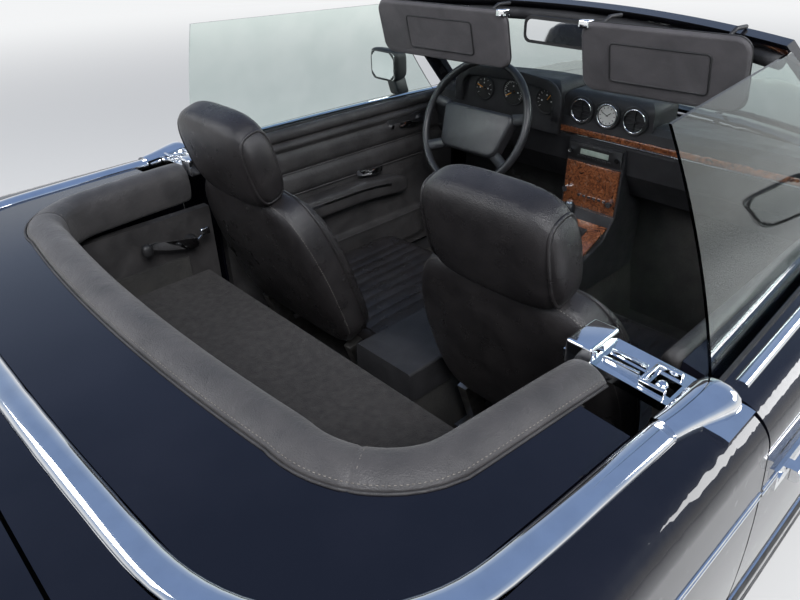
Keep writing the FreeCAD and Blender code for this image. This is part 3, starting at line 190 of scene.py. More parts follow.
# %% Sky
world = bpy.data.worlds.new("soft sky")
bpy.context.scene.world = world
world.use_nodes = True
tree = world.node_tree
plain_sky = tree.nodes["Background"]
fill(plain_sky, (("Color", (0.84, 0.88, 0.95, 1)), ("Strength", 0.55)))
sky = add(tree, "Background", [("Strength", 0.95)])
direction, height_of, fade = add(tree, "TexCoord"), add(tree, "SeparateXYZ"), add(tree, "ValToRGB")
SKY = (
    # height from horizon 0 to straight up 1, colour
    (0.00, (0.88, 0.88, 0.88)),
    (0.14, (0.76, 0.80, 0.86)),
    (0.34, (0.40, 0.49, 0.66)),
    (0.62, (0.21, 0.30, 0.50)),
    (1.00, (0.19, 0.28, 0.50)),
)
while len(fade.color_ramp.elements) < len(SKY):
    fade.color_ramp.elements.new(0.5)
for step, (height, colour) in zip(fade.color_ramp.elements, SKY):
    step.position, step.color = height, (*colour, 1)
backdrop = add(tree, "Background", [("Color", BACKDROP)])
which_ray, choose, mirrored = add(tree, "LightPath"), add(tree, "MixShader"), add(tree, "MixShader")
join(tree,
     (direction.outputs["Generated"], height_of.inputs["Vector"]),
     (height_of.outputs["Z"], fade.inputs["Fac"]),
     (fade.outputs["Color"], sky.inputs["Color"]),
     (which_ray.outputs["Is Glossy Ray"], mirrored.inputs["Fac"]),
     (plain_sky.outputs["Background"], mirrored.inputs[1]),
     (sky.outputs["Background"], mirrored.inputs[2]),
     (which_ray.outputs["Is Camera Ray"], choose.inputs["Fac"]),
     (mirrored.outputs["Shader"], choose.inputs[1]),
     (backdrop.outputs["Background"], choose.inputs[2]),
     (choose.outputs["Shader"], tree.nodes["World Output"].inputs["Surface"]))
print("sky of", len(SKY), "shades")

# %% Lamps
LAMPS = (
    # name, place, aimed at, width, height, watts
    ("key panel", (-2.6, -4.2, 5.2), (0.0, 0.0, 0.6), 3.2, 2.2, 420),
    ("rear left panel", (-4.4, 3.0, 4.0), (-0.2, 0.0, 0.7), 3.6, 1.6, 150),
    ("front right panel", (4.6, -3.4, 3.4), (0.4, 0.0, 0.6), 3.6, 1.4, 150),
)
for name, place, aim, width, height, watts in LAMPS:
    lamp = bpy.data.lights.new(name, "AREA")
    lamp.shape = "RECTANGLE"
    lamp.size, lamp.size_y, lamp.energy = width, height, watts
    holder = bpy.data.objects.new(name, lamp)
    direction = Vector(aim) - Vector(place)
    holder.matrix_world = moved(*place) @ direction.to_track_quat("-Z", "Y").to_matrix().to_4x4()
    bpy.context.scene.collection.objects.link(holder)
bpy.context.scene.view_settings.view_transform = "Standard"
print(len(LAMPS), "soft panels")

# %% [markdown]
# ## How a finish is built
# A finish starts as one shader with its plain values. Real surfaces are never even, so small nodes
# then disturb it: a wide noise clouds the colour, another spreads the gloss, and a fine pattern pushes
# the surface in and out. All patterns read the object's own coordinates, which are metres here, so a
# scale of 500 gives a grain about 2 mm across.

# %% Finish helpers
def start_finish(name, colour, roughness, metallic=0.0):
    """A new material: its name, its node tree and its shader."""
    material = bpy.data.materials.new(name)
    material.use_nodes = True
    material.diffuse_color = (*colour, 1)
    shader = material.node_tree.nodes["Principled BSDF"]
    fill(shader, (("Base Color", (*colour, 1)), ("Roughness", roughness), ("Metallic", metallic)))
    return material, material.node_tree, shader


def on_object(tree, pattern, stretch=(1, 1, 1)):
    """Lay a pattern on the object's own coordinates, stretched along its axes."""
    coords, mapping = add(tree, "TexCoord"), add(tree, "Mapping", [("Scale", stretch)])
    join(tree, (coords.outputs["Object"], mapping.inputs["Vector"]),
         (mapping.outputs["Vector"], pattern.inputs["Vector"]))


def noise(tree, scale, detail, stretch=(1, 1, 1), distortion=0.0):
    """A cloud pattern."""
    pattern = add(tree, "TexNoise", (("Scale", scale), ("Detail", detail), ("Distortion", distortion)))
    on_object(tree, pattern, stretch)
    return pattern.outputs["Fac"]


def pebbles(tree, scale):
    """Round cells, for leather grain."""
    pattern = add(tree, "TexVoronoi", [("Scale", scale)])
    on_object(tree, pattern)
    return pattern.outputs["Distance"]


def cloud_colour(tree, shader, pattern, dark, light, low=0.35, high=0.65):
    """Let a pattern shift the colour between two shades."""
    ramp = add(tree, "ValToRGB")
    first, last = ramp.color_ramp.elements
    first.position, first.color = low, (*dark, 1)
    last.position, last.color = high, (*light, 1)
    join(tree, (pattern, ramp.inputs["Fac"]), (ramp.outputs["Color"], shader.inputs["Base Color"]))


def spread(tree, shader, pattern, socket, low, high):
    """Let a pattern move one of the shader's values between low and high."""
    limits = (("From Min", 0.3), ("From Max", 0.7), ("To Min", low), ("To Max", high))
    to_range = add(tree, "MapRange", limits)
    join(tree, (pattern, to_range.inputs["Value"]), (to_range.outputs["Result"], shader.inputs[socket]))


def emboss(tree, shader, pattern, depth, strength=1.0):
    """Push the surface in and out by a pattern, over any embossing that is there already."""
    bump = add(tree, "Bump", (("Distance", depth), ("Strength", strength)))
    join(tree, (pattern, bump.inputs["Height"]))
    before = shader.inputs["Normal"].links
    if before:
        join(tree, (before[0].from_socket, bump.inputs["Normal"]))
    join(tree, (bump.outputs["Normal"], shader.inputs["Normal"]))


print("helpers for finishes are ready")

# %% [markdown]
# ## Paint, chrome and glass
# The paint is solid black under a clear coat. It is not evenly clean: a thin film of dust lightens it
# in clouds and dulls the coat in places. Chrome is a bright metal whose only detail is smears. Window
# glass of this age is faintly green, most of all at its edges.

# %% Paint, chrome and glass
paint, tree, shader = start_finish("black paint", (0.004, 0.004, 0.008), 0.30)
fill(shader, (("Coat Weight", 1.0), ("Specular IOR Level", 0.04), ("Coat IOR", 1.5)))
cloud_colour(tree, shader, noise(tree, 3.0, 6), (0.003, 0.003, 0.006), (0.007, 0.007, 0.012))
spread(tree, shader, noise(tree, 5.0, 5), "Coat Roughness", 0.008, 0.028)
spread(tree, shader, noise(tree, 60.0, 3), "Roughness", 0.27, 0.34)

chrome, tree, shader = start_finish("bright chrome", (0.80, 0.81, 0.83), 0.08, 1.0)
cloud_colour(tree, shader, noise(tree, 26.0, 8), (0.77, 0.78, 0.79), (0.86, 0.87, 0.88), 0.25, 0.6)
spread(tree, shader, noise(tree, 34.0, 8, distortion=1.5), "Roughness", 0.03, 0.09)

window, tree, shader = start_finish("green window glass", (0.80, 0.90, 0.85), 0.0)
fill(shader, (("Transmission Weight", 1.0), ("IOR", 1.22)))
cloud_colour(tree, shader, noise(tree, 9.0, 6), (0.80, 0.89, 0.85), (0.86, 0.94, 0.90))

mirror_glass, tree, shader = start_finish("mirror glass", (0.86, 0.88, 0.88), 0.02, 1.0)
spread(tree, shader, noise(tree, 30.0, 5), "Roughness", 0.01, 0.05)
print("paint, chrome, window and mirror glass")

# %% [markdown]
# ## Leather, vinyl and carpet
# Hide and vinyl share a pebbled grain, but they age in their own ways. The deck's roll has lain in the
# sun: it is grey, dry and crinkled. The seats are polished by use and have larger, softer creases. The
# carpet is a short cut pile, which a fine noise and some sheen stand for.

# %% Leather, vinyl and carpet
def hide(name, dark, light, rough, grain, crinkle, crinkle_depth, sheen=0.0):
    """Pebbled hide or vinyl: grain cells per metre, crinkles per metre and their depth."""
    material, tree, shader = start_finish(name, light, rough[0])
    cloud_colour(tree, shader, noise(tree, 14.0, 8, distortion=0.6), dark, light, 0.3, 0.7)
    spread(tree, shader, noise(tree, 22.0, 6), "Roughness", *rough)
    emboss(tree, shader, noise(tree, crinkle, 6, distortion=1.2), crinkle_depth)
    emboss(tree, shader, pebbles(tree, grain), 0.0006, 0.8)
    fill(shader, (("Sheen Weight", sheen), ("Specular IOR Level", 0.4)))
    return material


roll_vinyl = hide("sun-dried roll vinyl", (0.030, 0.029, 0.031), (0.056, 0.053, 0.055),
                  rough=(0.42, 0.60), grain=480, crinkle=55, crinkle_depth=0.0014, sheen=0.12)
seat_leather = hide("seat leather", (0.012, 0.011, 0.012), (0.024, 0.022, 0.023),
                    rough=(0.24, 0.38), grain=620, crinkle=18, crinkle_depth=0.0005)
door_vinyl = hide("door card vinyl", (0.022, 0.021, 0.022), (0.042, 0.040, 0.041),
                  rough=(0.42, 0.56), grain=520, crinkle=40, crinkle_depth=0.0010)
dash_vinyl = hide("dash vinyl", (0.016, 0.016, 0.018), (0.028, 0.028, 0.031),
                  rough=(0.44, 0.58), grain=700, crinkle=30, crinkle_depth=0.0005)
visor_vinyl = hide("visor vinyl", (0.050, 0.047, 0.052), (0.078, 0.073, 0.079),
                   rough=(0.5, 0.65), grain=560, crinkle=45, crinkle_depth=0.0008, sheen=0.1)

carpet, tree, shader = start_finish("short pile carpet", (0.018, 0.016, 0.017), 0.95)
cloud_colour(tree, shader, noise(tree, 60.0, 10), (0.010, 0.009, 0.010), (0.030, 0.027, 0.028), 0.3, 0.7)
emboss(tree, shader, noise(tree, 520.0, 3), 0.004)
fill(shader, [("Sheen Weight", 0.06)])
print("hides and carpet")

# %% [markdown]
# ## Rubber, alloy, iron and plastic
# The running gear is seen from the sides and from below. Tyre rubber is dull and a little brown, the
# rims are painted alloy, and everything under the floor is sealed or lightly rusted iron with road dust.

# %% Rubber, metals and plastic
def plain_finish(name, dark, light, rough, clouds, metallic=0.0, grain=300.0, depth=0.0004):
    """Moulded, cast or sprayed surface: clouded colour, uneven gloss and a fine grain."""
    material, tree, shader = start_finish(name, light, rough[0], metallic)
    cloud_colour(tree, shader, noise(tree, clouds, 8), dark, light, 0.3, 0.7)
    spread(tree, shader, noise(tree, clouds * 1.7, 6), "Roughness", *rough)
    emboss(tree, shader, noise(tree, grain, 4), depth)
    return material


rubber = plain_finish("tyre rubber", (0.016, 0.015, 0.015), (0.032, 0.030, 0.029), (0.72, 0.88), clouds=12)
alloy = plain_finish("painted alloy", (0.46, 0.47, 0.48), (0.60, 0.61, 0.62),
                     (0.26, 0.40), metallic=0.9, clouds=14, grain=600, depth=0.0001)
iron = plain_finish("cast iron", (0.045, 0.036, 0.030), (0.11, 0.095, 0.085),
                    (0.55, 0.80), metallic=0.6, clouds=30, grain=500, depth=0.0008)
steel = plain_finish("bare steel", (0.22, 0.21, 0.20), (0.38, 0.37, 0.36),
                     (0.30, 0.48), metallic=1.0, clouds=40, grain=700, depth=0.0002)
pipe_steel = plain_finish("aluminised pipe", (0.20, 0.17, 0.14), (0.42, 0.40, 0.37),
                          (0.34, 0.60), metallic=1.0, clouds=18, grain=400, depth=0.0003)
underseal = plain_finish("rough underseal", (0.018, 0.018, 0.018), (0.040, 0.038, 0.036),
                         (0.70, 0.92), clouds=9, grain=160, depth=0.0020)
black_plastic = plain_finish("black plastic", (0.009, 0.009, 0.010), (0.018, 0.018, 0.019),
                             (0.46, 0.60), clouds=25, grain=900, depth=0.0002)
cladding = plain_finish("sill cladding", (0.020, 0.020, 0.022), (0.038, 0.038, 0.041),
                        (0.42, 0.60), clouds=10, grain=500, depth=0.0003)
grille_metal = plain_finish("satin grille bars", (0.50, 0.51, 0.52), (0.66, 0.67, 0.68),
                            (0.20, 0.34), metallic=1.0, clouds=30, grain=700, depth=0.0001)
print("rubber, metals and plastic")

# %% [markdown]
# ## Lamp glass
# A front lamp is clear moulded glass with upright flutes. A tail lamp is one lens in three colours:
# white for reversing, red, and amber at the corner. The colour depends only on how far from the middle
# of the car a point lies, so the same finish serves both sides.

# %% Lamp glass
lamp_glass, tree, shader = start_finish("clear lamp glass", (0.94, 0.95, 0.95), 0.03)
fill(shader, (("Transmission Weight", 1.0), ("IOR", 1.16)))
emboss(tree, shader, noise(tree, 70.0, 1, (1, 1, 0.02)), 0.002, 0.5)
spread(tree, shader, noise(tree, 40.0, 4), "Roughness", 0.02, 0.10)

LENSES = (
    # metres from the middle of the car, colour
    (0.0, (0.62, 0.60, 0.58)),
    (0.60, (0.42, 0.010, 0.012)),
    (0.775, (0.72, 0.20, 0.010)),
)
tail_red, tree, shader = start_finish("red lens", (0.42, 0.012, 0.015), 0.10)
fill(shader, [("Transmission Weight", 0.25)])
across, parts, lenses = add(tree, "TexCoord"), add(tree, "SeparateXYZ"), add(tree, "ValToRGB")
from_keel = add(tree, "Math")
from_keel.operation = "ABSOLUTE"
lenses.color_ramp.interpolation = "CONSTANT"
lenses.color_ramp.elements.new(0.5)
for step, (start, colour) in zip(lenses.color_ramp.elements, LENSES):
    step.position, step.color = start, (*colour, 1)
join(tree,
     (across.outputs["Object"], parts.inputs["Vector"]),
     (parts.outputs["Y"], from_keel.inputs[0]),
     (from_keel.outputs["Value"], lenses.inputs["Fac"]),
     (lenses.outputs["Color"], shader.inputs["Base Color"]))
spread(tree, shader, noise(tree, 40.0, 4), "Roughness", 0.06, 0.14)
print("clear glass and", len(LENSES), "lens colours")

# %% A finish for every solid
FINISH_OF_SLOT = {
    "paint": paint, "chrome": chrome, "clear_glass": window, "lamp_glass": lamp_glass, "tail_lens": tail_red,
    "grille_metal": grille_metal, "cladding": cladding, "underseal": underseal, "vinyl": roll_vinyl,
    "seat_leather": seat_leather, "door_vinyl": door_vinyl, "dash_vinyl": dash_vinyl, "carpet": carpet,
    "visor_vinyl": visor_vinyl, "wheel_rim_plastic": black_plastic, "tyre": rubber, "alloy": alloy,
    "steel": steel, "iron": iron, "exhaust_steel": pipe_steel, "black_plastic": black_plastic,
}
for part in frame["record"]["subparts"]:
    for material_slot in nodes[part["node"]].material_slots:
        material_slot.material = FINISH_OF_SLOT[part["material_slot"]]
print("every solid has its finish")

# %% [markdown]
# ## Tools for making pieces
# Every new piece ends the same way: its loose shape becomes a mesh, gets a finish and rides on a body of
# the car. Most trims on a car are one outline drawn along a path, so `sweep` extrudes a ring of points
# from stop to stop, and `stops_along` makes the stops. Other helpers find where the solids' surface
# lies, so that trims can sit on it, and round off edges.

# %% Piece helpers
STITCH = (0.0035, 0.0009, 0.0009)


def new_piece(name, bm, material, body, levels=0, sharp=None, replaced=()):
    """Turn a bmesh into a finished piece that rides on a body."""
    bmesh.ops.recalc_face_normals(bm, faces=bm.faces)
    mesh = bpy.data.meshes.new(name)
    bm.to_mesh(mesh)
    bm.free()
    mesh.materials.append(material)
    for face in mesh.polygons:
        face.use_smooth = True
    if sharp is not None:
        mesh.set_sharp_from_angle(angle=math.radians(sharp))
    piece = bpy.data.objects.new(name, mesh)
    bpy.context.scene.collection.objects.link(piece)
    if levels:
        soften = piece.modifiers.new("soften", "SUBSURF")
        soften.levels = soften.render_levels = levels
    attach(piece, body)
    if replaced:
        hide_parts(*replaced)
    return piece


def sweep(bm, profile, stops, closed=False):
    """Extrude a ring of (across, up) points from one stop to the next. A stop is a matrix."""
    ring = [bm.verts.new((0, across, height)) for across, height in profile]
    edges = [bm.edges.new((ring[i], ring[(i + 1) % len(ring)])) for i in range(len(ring))]
    bmesh.ops.transform(bm, matrix=stops[0], verts=ring)
    first, before = edges, stops[0]
    for stop in stops[1:]:
        made = bmesh.ops.extrude_edge_only(bm, edges=edges)["geom"]
        verts = [g for g in made if isinstance(g, bmesh.types.BMVert)]
        edges = [g for g in made if isinstance(g, bmesh.types.BMEdge) and all(v in verts for v in g.verts)]
        bmesh.ops.transform(bm, matrix=stop @ before.inverted(), verts=verts)
        before = stop
    if closed:
        bmesh.ops.bridge_loops(bm, edges=first + edges)
    else:
        for loop in (first, edges):
            bmesh.ops.holes_fill(bm, edges=loop, sides=0)
    return bm


def stops_along(points, up=UP, closed=False, sizes=None):
    """A matrix at each point of a path: X runs along it, Y across and Z near `up`."""
    stops = []
    count = len(points)
    for i, point in enumerate(points):
        ahead = points[(i + 1) % count] if closed or i < count - 1 else points[i]
        behind = points[i - 1] if closed or i > 0 else points[i]
        along = (ahead - behind).normalized()
        across = Vector(up).cross(along).normalized()
        top = along.cross(across)
        size = sizes[i] if sizes else 1.0
        turn = Matrix((along, across * size, top * size)).transposed().to_4x4()
        stops.append(moved(*point) @ turn)
    return stops


def arc(a, b, c, count):
    """Points on the circle through three points, from a to c."""
    a, b, c = Vector(a), Vector(b), Vector(c)
    normal = (b - a).cross(c - a)
    u, v = b - a, c - a
    offset = v.length_squared * normal.cross(u) + u.length_squared * v.cross(normal)
    centre = a + offset / (2 * normal.length_squared)
    start, end = a - centre, c - centre
    angle = start.angle(end)
    if (b - centre).angle(start) > angle or (b - centre).angle(end) > angle:
        angle = 2 * math.pi - angle
    axis = normal.normalized()
    return [centre + Matrix.Rotation(angle * i / count, 3, axis) @ start for i in range(count + 1)]


def in_mm(*points):
    """An outline of (across, up) points that are given in millimetres."""
    return [(across / 1000, height / 1000) for across, height in points]


def circle_profile(radius, count):
    """A round outline."""
    turns = [2 * math.pi * i / count for i in range(count)]
    return [(radius * math.cos(turn), radius * math.sin(turn)) for turn in turns]


def tube(bm, points, radius, segments=8, up=UP, closed=False):
    """A round tube along a path."""
    return sweep(bm, circle_profile(radius, segments), stops_along(points, up, closed), closed)


def lathe(bm, outline, centre, axis, steps):
    """Spin an open outline once round an axis."""
    verts = [bm.verts.new(point) for point in outline]
    edges = [bm.edges.new(pair) for pair in zip(verts, verts[1:])]
    bmesh.ops.spin(bm, geom=verts + edges, cent=centre, axis=axis, angle=2 * math.pi, steps=steps,
                   use_merge=True)


def peg(bm, matrix, radius, tip, height, segments=24):
    """A round or many-sided peg that narrows from `radius` to `tip`."""
    bmesh.ops.create_cone(bm, cap_ends=True, segments=segments, radius1=radius, radius2=tip, depth=height,
                          matrix=matrix)


def edges_along(bm, axis):
    """The straight edges that run along one axis: 0, 1 or 2."""
    return [e for e in bm.edges if abs((e.verts[0].co - e.verts[1].co).normalized()[axis]) > 0.9]


def round_off(bm, edges, radius, segments):
    """Bevel some edges with the editor's own settings, and return the new corners."""
    return bmesh.ops.bevel(bm, geom=edges, offset=radius, segments=segments, profile=0.5, affect="EDGES",
                           material=-1)["verts"]


def smoothed(path):
    """Draw each inner point of a path towards its neighbours."""
    inner = [(a + 2 * b + c) / 4 for a, b, c in zip(path, path[1:], path[2:])]
    return [path[0]] + inner + [path[-1]]


def tree_of(*names):
    """A search tree over some solids, for finding their surface."""
    verts, faces = [], []
    for name in names:
        mesh = nodes[name].data
        base = len(verts)
        verts += [v.co.copy() for v in mesh.vertices]
        faces += [[base + i for i in face.vertices] for face in mesh.polygons]
    return BVHTree.FromPolygons(verts, faces)


def hit(tree, origin, towards):
    """The first point of a surface that a ray meets."""
    return tree.ray_cast(Vector(origin), Vector(towards).normalized())[0]


def drop_on(tree, x, y, start=2.0):
    """Height of the first surface below a point."""
    found = hit(tree, (x, y, start), -UP)
    return found.z if found else None


def soft_block(size, cuts, power):
    """A block with full, rounded faces, centred on the origin. A high power keeps it boxy."""
    bm = bmesh.new()
    bmesh.ops.create_cube(bm, size=2.0)
    for axis in range(3):
        bmesh.ops.subdivide_edges(bm, edges=edges_along(bm, axis), cuts=cuts[axis], use_grid_fill=True)
    for vert in bm.verts:
        x, y, z = vert.co
        flat = max(abs(x), abs(y), abs(z))
        full = (abs(x) ** power + abs(y) ** power + abs(z) ** power) ** (1 / power)
        vert.co *= flat / full
        vert.co = Vector((vert.co.x * size[0] / 2, vert.co.y * size[1] / 2, vert.co.z * size[2] / 2))
    return bm


def plain_box(bm, x0, x1, y0, y1, z0, z1, bevel=0.0, segments=2):
    """Add a box between six planes, with its edges rounded. Each pair of planes comes in any order."""
    made = bmesh.ops.create_cube(bm, size=1.0)["verts"]
    bmesh.ops.scale(bm, vec=(abs(x1 - x0), abs(y1 - y0), abs(z1 - z0)), verts=made)
    bmesh.ops.translate(bm, vec=((x0 + x1) / 2, (y0 + y1) / 2, (z0 + z1) / 2), verts=made)
    if bevel:
        made = round_off(bm, list({e for v in made for e in v.link_edges}), bevel, segments)
    return made


def stitches(bm, points, pitch=0.006, up=UP):
    """Thread lying along a path: one small flat stitch every `pitch`."""
    travelled, due = 0.0, pitch / 2
    for a, b in zip(points, points[1:]):
        run = (b - a).length
        while due <= travelled + run:
            spot = a.lerp(b, (due - travelled) / run)
            stop = stops_along([spot, spot + (b - a).normalized() * 0.001], up)[0]
            made = bmesh.ops.create_cube(bm, size=1.0)["verts"]
            bmesh.ops.scale(bm, vec=STITCH, verts=made)
            bmesh.ops.transform(bm, matrix=stop, verts=made)
            due += pitch
        travelled += run


print("helpers for pieces are ready")

# %% [markdown]
# ## Finishes for the small pieces
# A few finishes belong only to pieces that are made below: thread, burl wood, the foam of the steering
# wheel, the parts of the instruments and the rubber of the seals. They are built as those above are.

# %% Thread and burl wood
thread, tree, shader = start_finish("sewing thread", (0.20, 0.18, 0.17), 0.7)
cloud_colour(tree, shader, noise(tree, 400.0, 3), (0.13, 0.12, 0.11), (0.26, 0.24, 0.22))

burl, tree, shader = start_finish("burl wood", (0.16, 0.055, 0.025), 0.22)
figure = noise(tree, 38.0, 8, distortion=3.5)
cloud_colour(tree, shader, figure, (0.045, 0.014, 0.008), (0.30, 0.105, 0.042), 0.32, 0.68)
spread(tree, shader, noise(tree, 60.0, 4), "Roughness", 0.16, 0.30)
emboss(tree, shader, figure, 0.0003)
fill(shader, (("Coat Weight", 0.8), ("Coat Roughness", 0.08)))
print("thread and burl wood")

# %% Small finishes of the cabin
wheel_foam = plain_finish("moulded wheel foam", (0.012, 0.0125, 0.014), (0.022, 0.023, 0.026),
                          (0.30, 0.46), clouds=30, grain=1400, depth=0.0002)
gauge_black = plain_finish("gauge black", (0.006, 0.006, 0.006), (0.012, 0.012, 0.012),
                           (0.45, 0.60), clouds=60, grain=900, depth=0.0001)
dial_white = plain_finish("dial white", (0.62, 0.62, 0.60), (0.74, 0.74, 0.72),
                          (0.40, 0.55), clouds=60, grain=900, depth=0.00005)
needle_orange = plain_finish("needle orange", (0.85, 0.30, 0.02), (0.95, 0.42, 0.04),
                             (0.40, 0.55), clouds=80, grain=900, depth=0.00005)
display_green = plain_finish("radio window", (0.26, 0.32, 0.28), (0.40, 0.46, 0.41),
                             (0.12, 0.22), clouds=50, grain=900, depth=0.00005)
black_rubber = plain_finish("window seal rubber", (0.010, 0.010, 0.011), (0.020, 0.020, 0.021),
                            (0.55, 0.75), clouds=30, grain=600, depth=0.0002)
print("finishes of the instruments and the seals")

# %% [markdown]
# ## The padded roll round the deck
# Where the stowed soft top lies under its lid, a roll of foam and vinyl frames the opening. It is one
# outline, a low dome that falls away on the inside, drawn round a U. A seam crosses it at each rear
# corner: there the vinyl is pulled down into a groove with a row of thread on either side. The solid
# lid gives the height at every stop, so the roll follows the crown of the deck.

# %% Path of the roll
SIDE_START, HALF, CORNER_X, REAR_X, BOW = -0.568, 0.572, -0.838, -0.930, 0.026
CORNER_BITE, FLARE = 0.140, 0.0235


def other_side(points):
    """The same points on the car's other side, in the opposite order."""
    return [Vector((p.x, -p.y, p.z)) for p in reversed(points)]


rear_start = HALF - CORNER_BITE
left_corner = arc((CORNER_X, HALF, 0), (REAR_X + 0.030, HALF - 0.042, 0), (REAR_X, rear_start, 0), 12)
rear_bow = arc((REAR_X, rear_start, 0), (REAR_X - BOW, 0, 0), (REAR_X, -rear_start, 0), 18)
front_end, corner_start = Vector((SIDE_START, HALF + FLARE, 0)), Vector((CORNER_X, HALF, 0))
side_run = [front_end.lerp(corner_start, i / 8) for i in range(8)]
left_half = side_run + left_corner
roll_path = left_half + rear_bow[1:-1] + other_side(left_half)
length = sum((a - b).length for a, b in zip(roll_path, roll_path[1:]))
print("the roll is", round(length, 3), "m long")

# %% The roll itself
ROLL = (
    # across from the inner edge, above the deck, both in millimetres
    (5, -85), (-1, -60), (-3, -30), (0, -4), (8, 11), (22, 19), (38, 21), (54, 18), (67, 11), (75, 4),
    (77, -1), (70, -8), (52, -20), (40, -50), (30, -85),
)
SEAM = (
    # along the roll from the seam, size of the outline there
    (-0.007, 1.0), (-0.003, 0.99), (0.0, 0.955), (0.003, 0.99), (0.007, 1.0),
)
LID_FRONT, SHELF_TOP = -0.66, 0.7995
lid_tree = tree_of("cover_lid")


def roll_stops(path, sizes):
    """Stops whose across axis points outwards, standing on the deck."""
    stops = []
    for stop, size in zip(stops_along(path), sizes):
        spot = stop.translation.copy()
        outward = -stop.col[1].xyz
        heights = [drop_on(lid_tree, min(spot.x + outward.x * reach, LID_FRONT), spot.y + outward.y * reach)
                   for reach in (0.085, 0.095, 0.115, 0.125)]
        height = max(h for h in heights if h)
        turn = Matrix((-stop.col[0].xyz, outward, UP)).transposed().to_4x4()
        centre = moved(0, 0.036, -0.03)
        shrink = Matrix.Diagonal((1, size, size, 1))
        stops.append(moved(spot.x, spot.y, height) @ turn @ centre @ shrink @ centre.inverted())
    return stops


def closing_stop(stop, shift, size):
    """A smaller outline just past an end, so that the end is rounded."""
    centre = moved(0, 0.036, -0.034)
    return stop @ moved(shift, 0, 0) @ centre @ Matrix.Diagonal((1, size, size, 1)) @ centre.inverted()


seams = (len(side_run) + 6, len(roll_path) - 1 - len(side_run) - 6)
path, sizes = [], []
for i, point in enumerate(roll_path):
    if i in seams:
        along = (roll_path[i + 1] - roll_path[i - 1]).normalized()
        path += [point + along * step for step, _ in SEAM]
        sizes += [size for _, size in SEAM]
    else:
        path.append(point)
        sizes.append(1.0)
stops = roll_stops(path, sizes)
start = [closing_stop(stops[0], 0.012, 0.80), closing_stop(stops[0], 0.009, 0.93)]
end = [closing_stop(stops[-1], -0.009, 0.93), closing_stop(stops[-1], -0.012, 0.80)]
bm = bmesh.new()
sweep(bm, [(a / 1000, h / 1000) for a, h in ROLL], start + stops + end)
for vert in bm.verts:
    vert.co.z = max(vert.co.z, SHELF_TOP)
roll = new_piece("deck_roll", bm, roll_vinyl, "top_cover", levels=1, replaced=("cover_pad",))
print("roll:", len(roll.data.polygons), "faces")

# %% Thread and welt of the roll
bm = bmesh.new()
for seam in (stops[seams[0] + 2], stops[seams[1] + 6]):
    for side in (-0.0065, 0.0065):
        over = [seam @ Vector((side, a / 1000, h / 1000 + 0.0008)) for a, h in ROLL[3:10]]
        stitches(bm, over, up=seam.col[2].xyz)
stitches(bm, [stop @ Vector((0, 0.0715, 0.0075)) for stop in stops], pitch=0.0075)
new_piece("roll_stitches", bm, thread, "top_cover")

bm = bmesh.new()
tube(bm, [stop @ Vector((0, 0.0790, 0.0012)) for stop in stops], 0.0026, 6)
new_piece("roll_welt", bm, door_vinyl, "top_cover")
print("thread and welt")

# %% [markdown]
# ## Seats
# Each seat has a sprung cushion, a back that narrows towards its shoulders and a deep headrest. All
# three are hide over foam: full faces, edges that pull in, and piping where the panels meet. A block
# that is rounded by one formula gives the full faces. The middle panels are sewn into narrow ribs, so
# their points are pushed down in rows. Piping is cut out of the finished surface itself: a copy is
# sliced by a plane, only the cut is kept, and a thin tube follows it.

# %% Piping helpers
def cut_line(source, point, normal, keep=None):
    """The points where a plane cuts a piece, in order. `keep` drops those that it says no to."""
    smooth = source.evaluated_get(bpy.context.evaluated_depsgraph_get())
    bm = bmesh.new()
    bm.from_mesh(smooth.to_mesh())
    cut = bmesh.ops.bisect_plane(bm, geom=bm.verts[:] + bm.edges[:] + bm.faces[:], plane_co=point,
                                 plane_no=normal, clear_inner=True, clear_outer=True)["geom_cut"]
    links = {}
    for edge in (g for g in cut if isinstance(g, bmesh.types.BMEdge)):
        a, b = edge.verts
        links.setdefault(a, []).append(b)
        links.setdefault(b, []).append(a)
    start = next((v for v in links if len(links[v]) == 1), next(iter(links)))
    line, before = [start], None
    while True:
        onward = [v for v in links[line[-1]] if v is not before]
        if not onward or onward[0] is start:
            break
        before = line[-1]
        line.append(onward[0])
    points = [source.matrix_world @ v.co for v in line]
    bm.free()
    if keep:
        kept = [keep(p) for p in points]
        if not all(kept) and any(kept):
            first = next(i for i in range(len(points)) if kept[i] and not kept[i - 1])
            points = points[first:] + points[:first]
            points = points[:next(i for i in range(len(points)) if not keep(points[i]))]
    return points


def piping(name, loops, radius, material, body):
    """Thin tubes that follow closed loops of points."""
    bm = bmesh.new()
    for points in loops:
        thinned = [points[0]]
        for point in points[1:]:
            if (point - thinned[-1]).length > radius * 1.5:
                thinned.append(point)
        if (thinned[-1] - thinned[0]).length < radius * 1.5:
            thinned.pop()
        third, two_thirds = thinned[len(thinned) // 3], thinned[2 * len(thinned) // 3]
        up = (third - thinned[0]).cross(two_thirds - thinned[0]).normalized()
        tube(bm, thinned, radius, 6, up, closed=True)
    return new_piece(name, bm, material, body)


print("piping helpers are ready")

# %% Places and sizes of the seats
SEATS = (
    # name, middle across, front of the cushion
    ("driver", 0.370, 0.195),
    ("passenger", -0.370, 0.285),
)
CUSHION, BACK, HEADREST = (0.500, 0.496, 0.128), (0.112, 0.496, 0.474), (0.104, 0.326, 0.226)
CUSHION_MIDDLE, HEADREST_MIDDLE, HEADREST_CREASE = 0.4025, 0.562, 0.139
HINGE_HEIGHT, HINGE_BEHIND_FRONT, LEAN = 0.452, 0.6135, -19
RIB_PITCH, RIB_PUSH = 0.0415, 6


def back_place(middle, front):
    """From the back's own axes (forward, across, up along the back) to the car's."""
    return moved(front - HINGE_BEHIND_FRONT, middle - 0.250, HINGE_HEIGHT) @ turned("Y", LEAN)


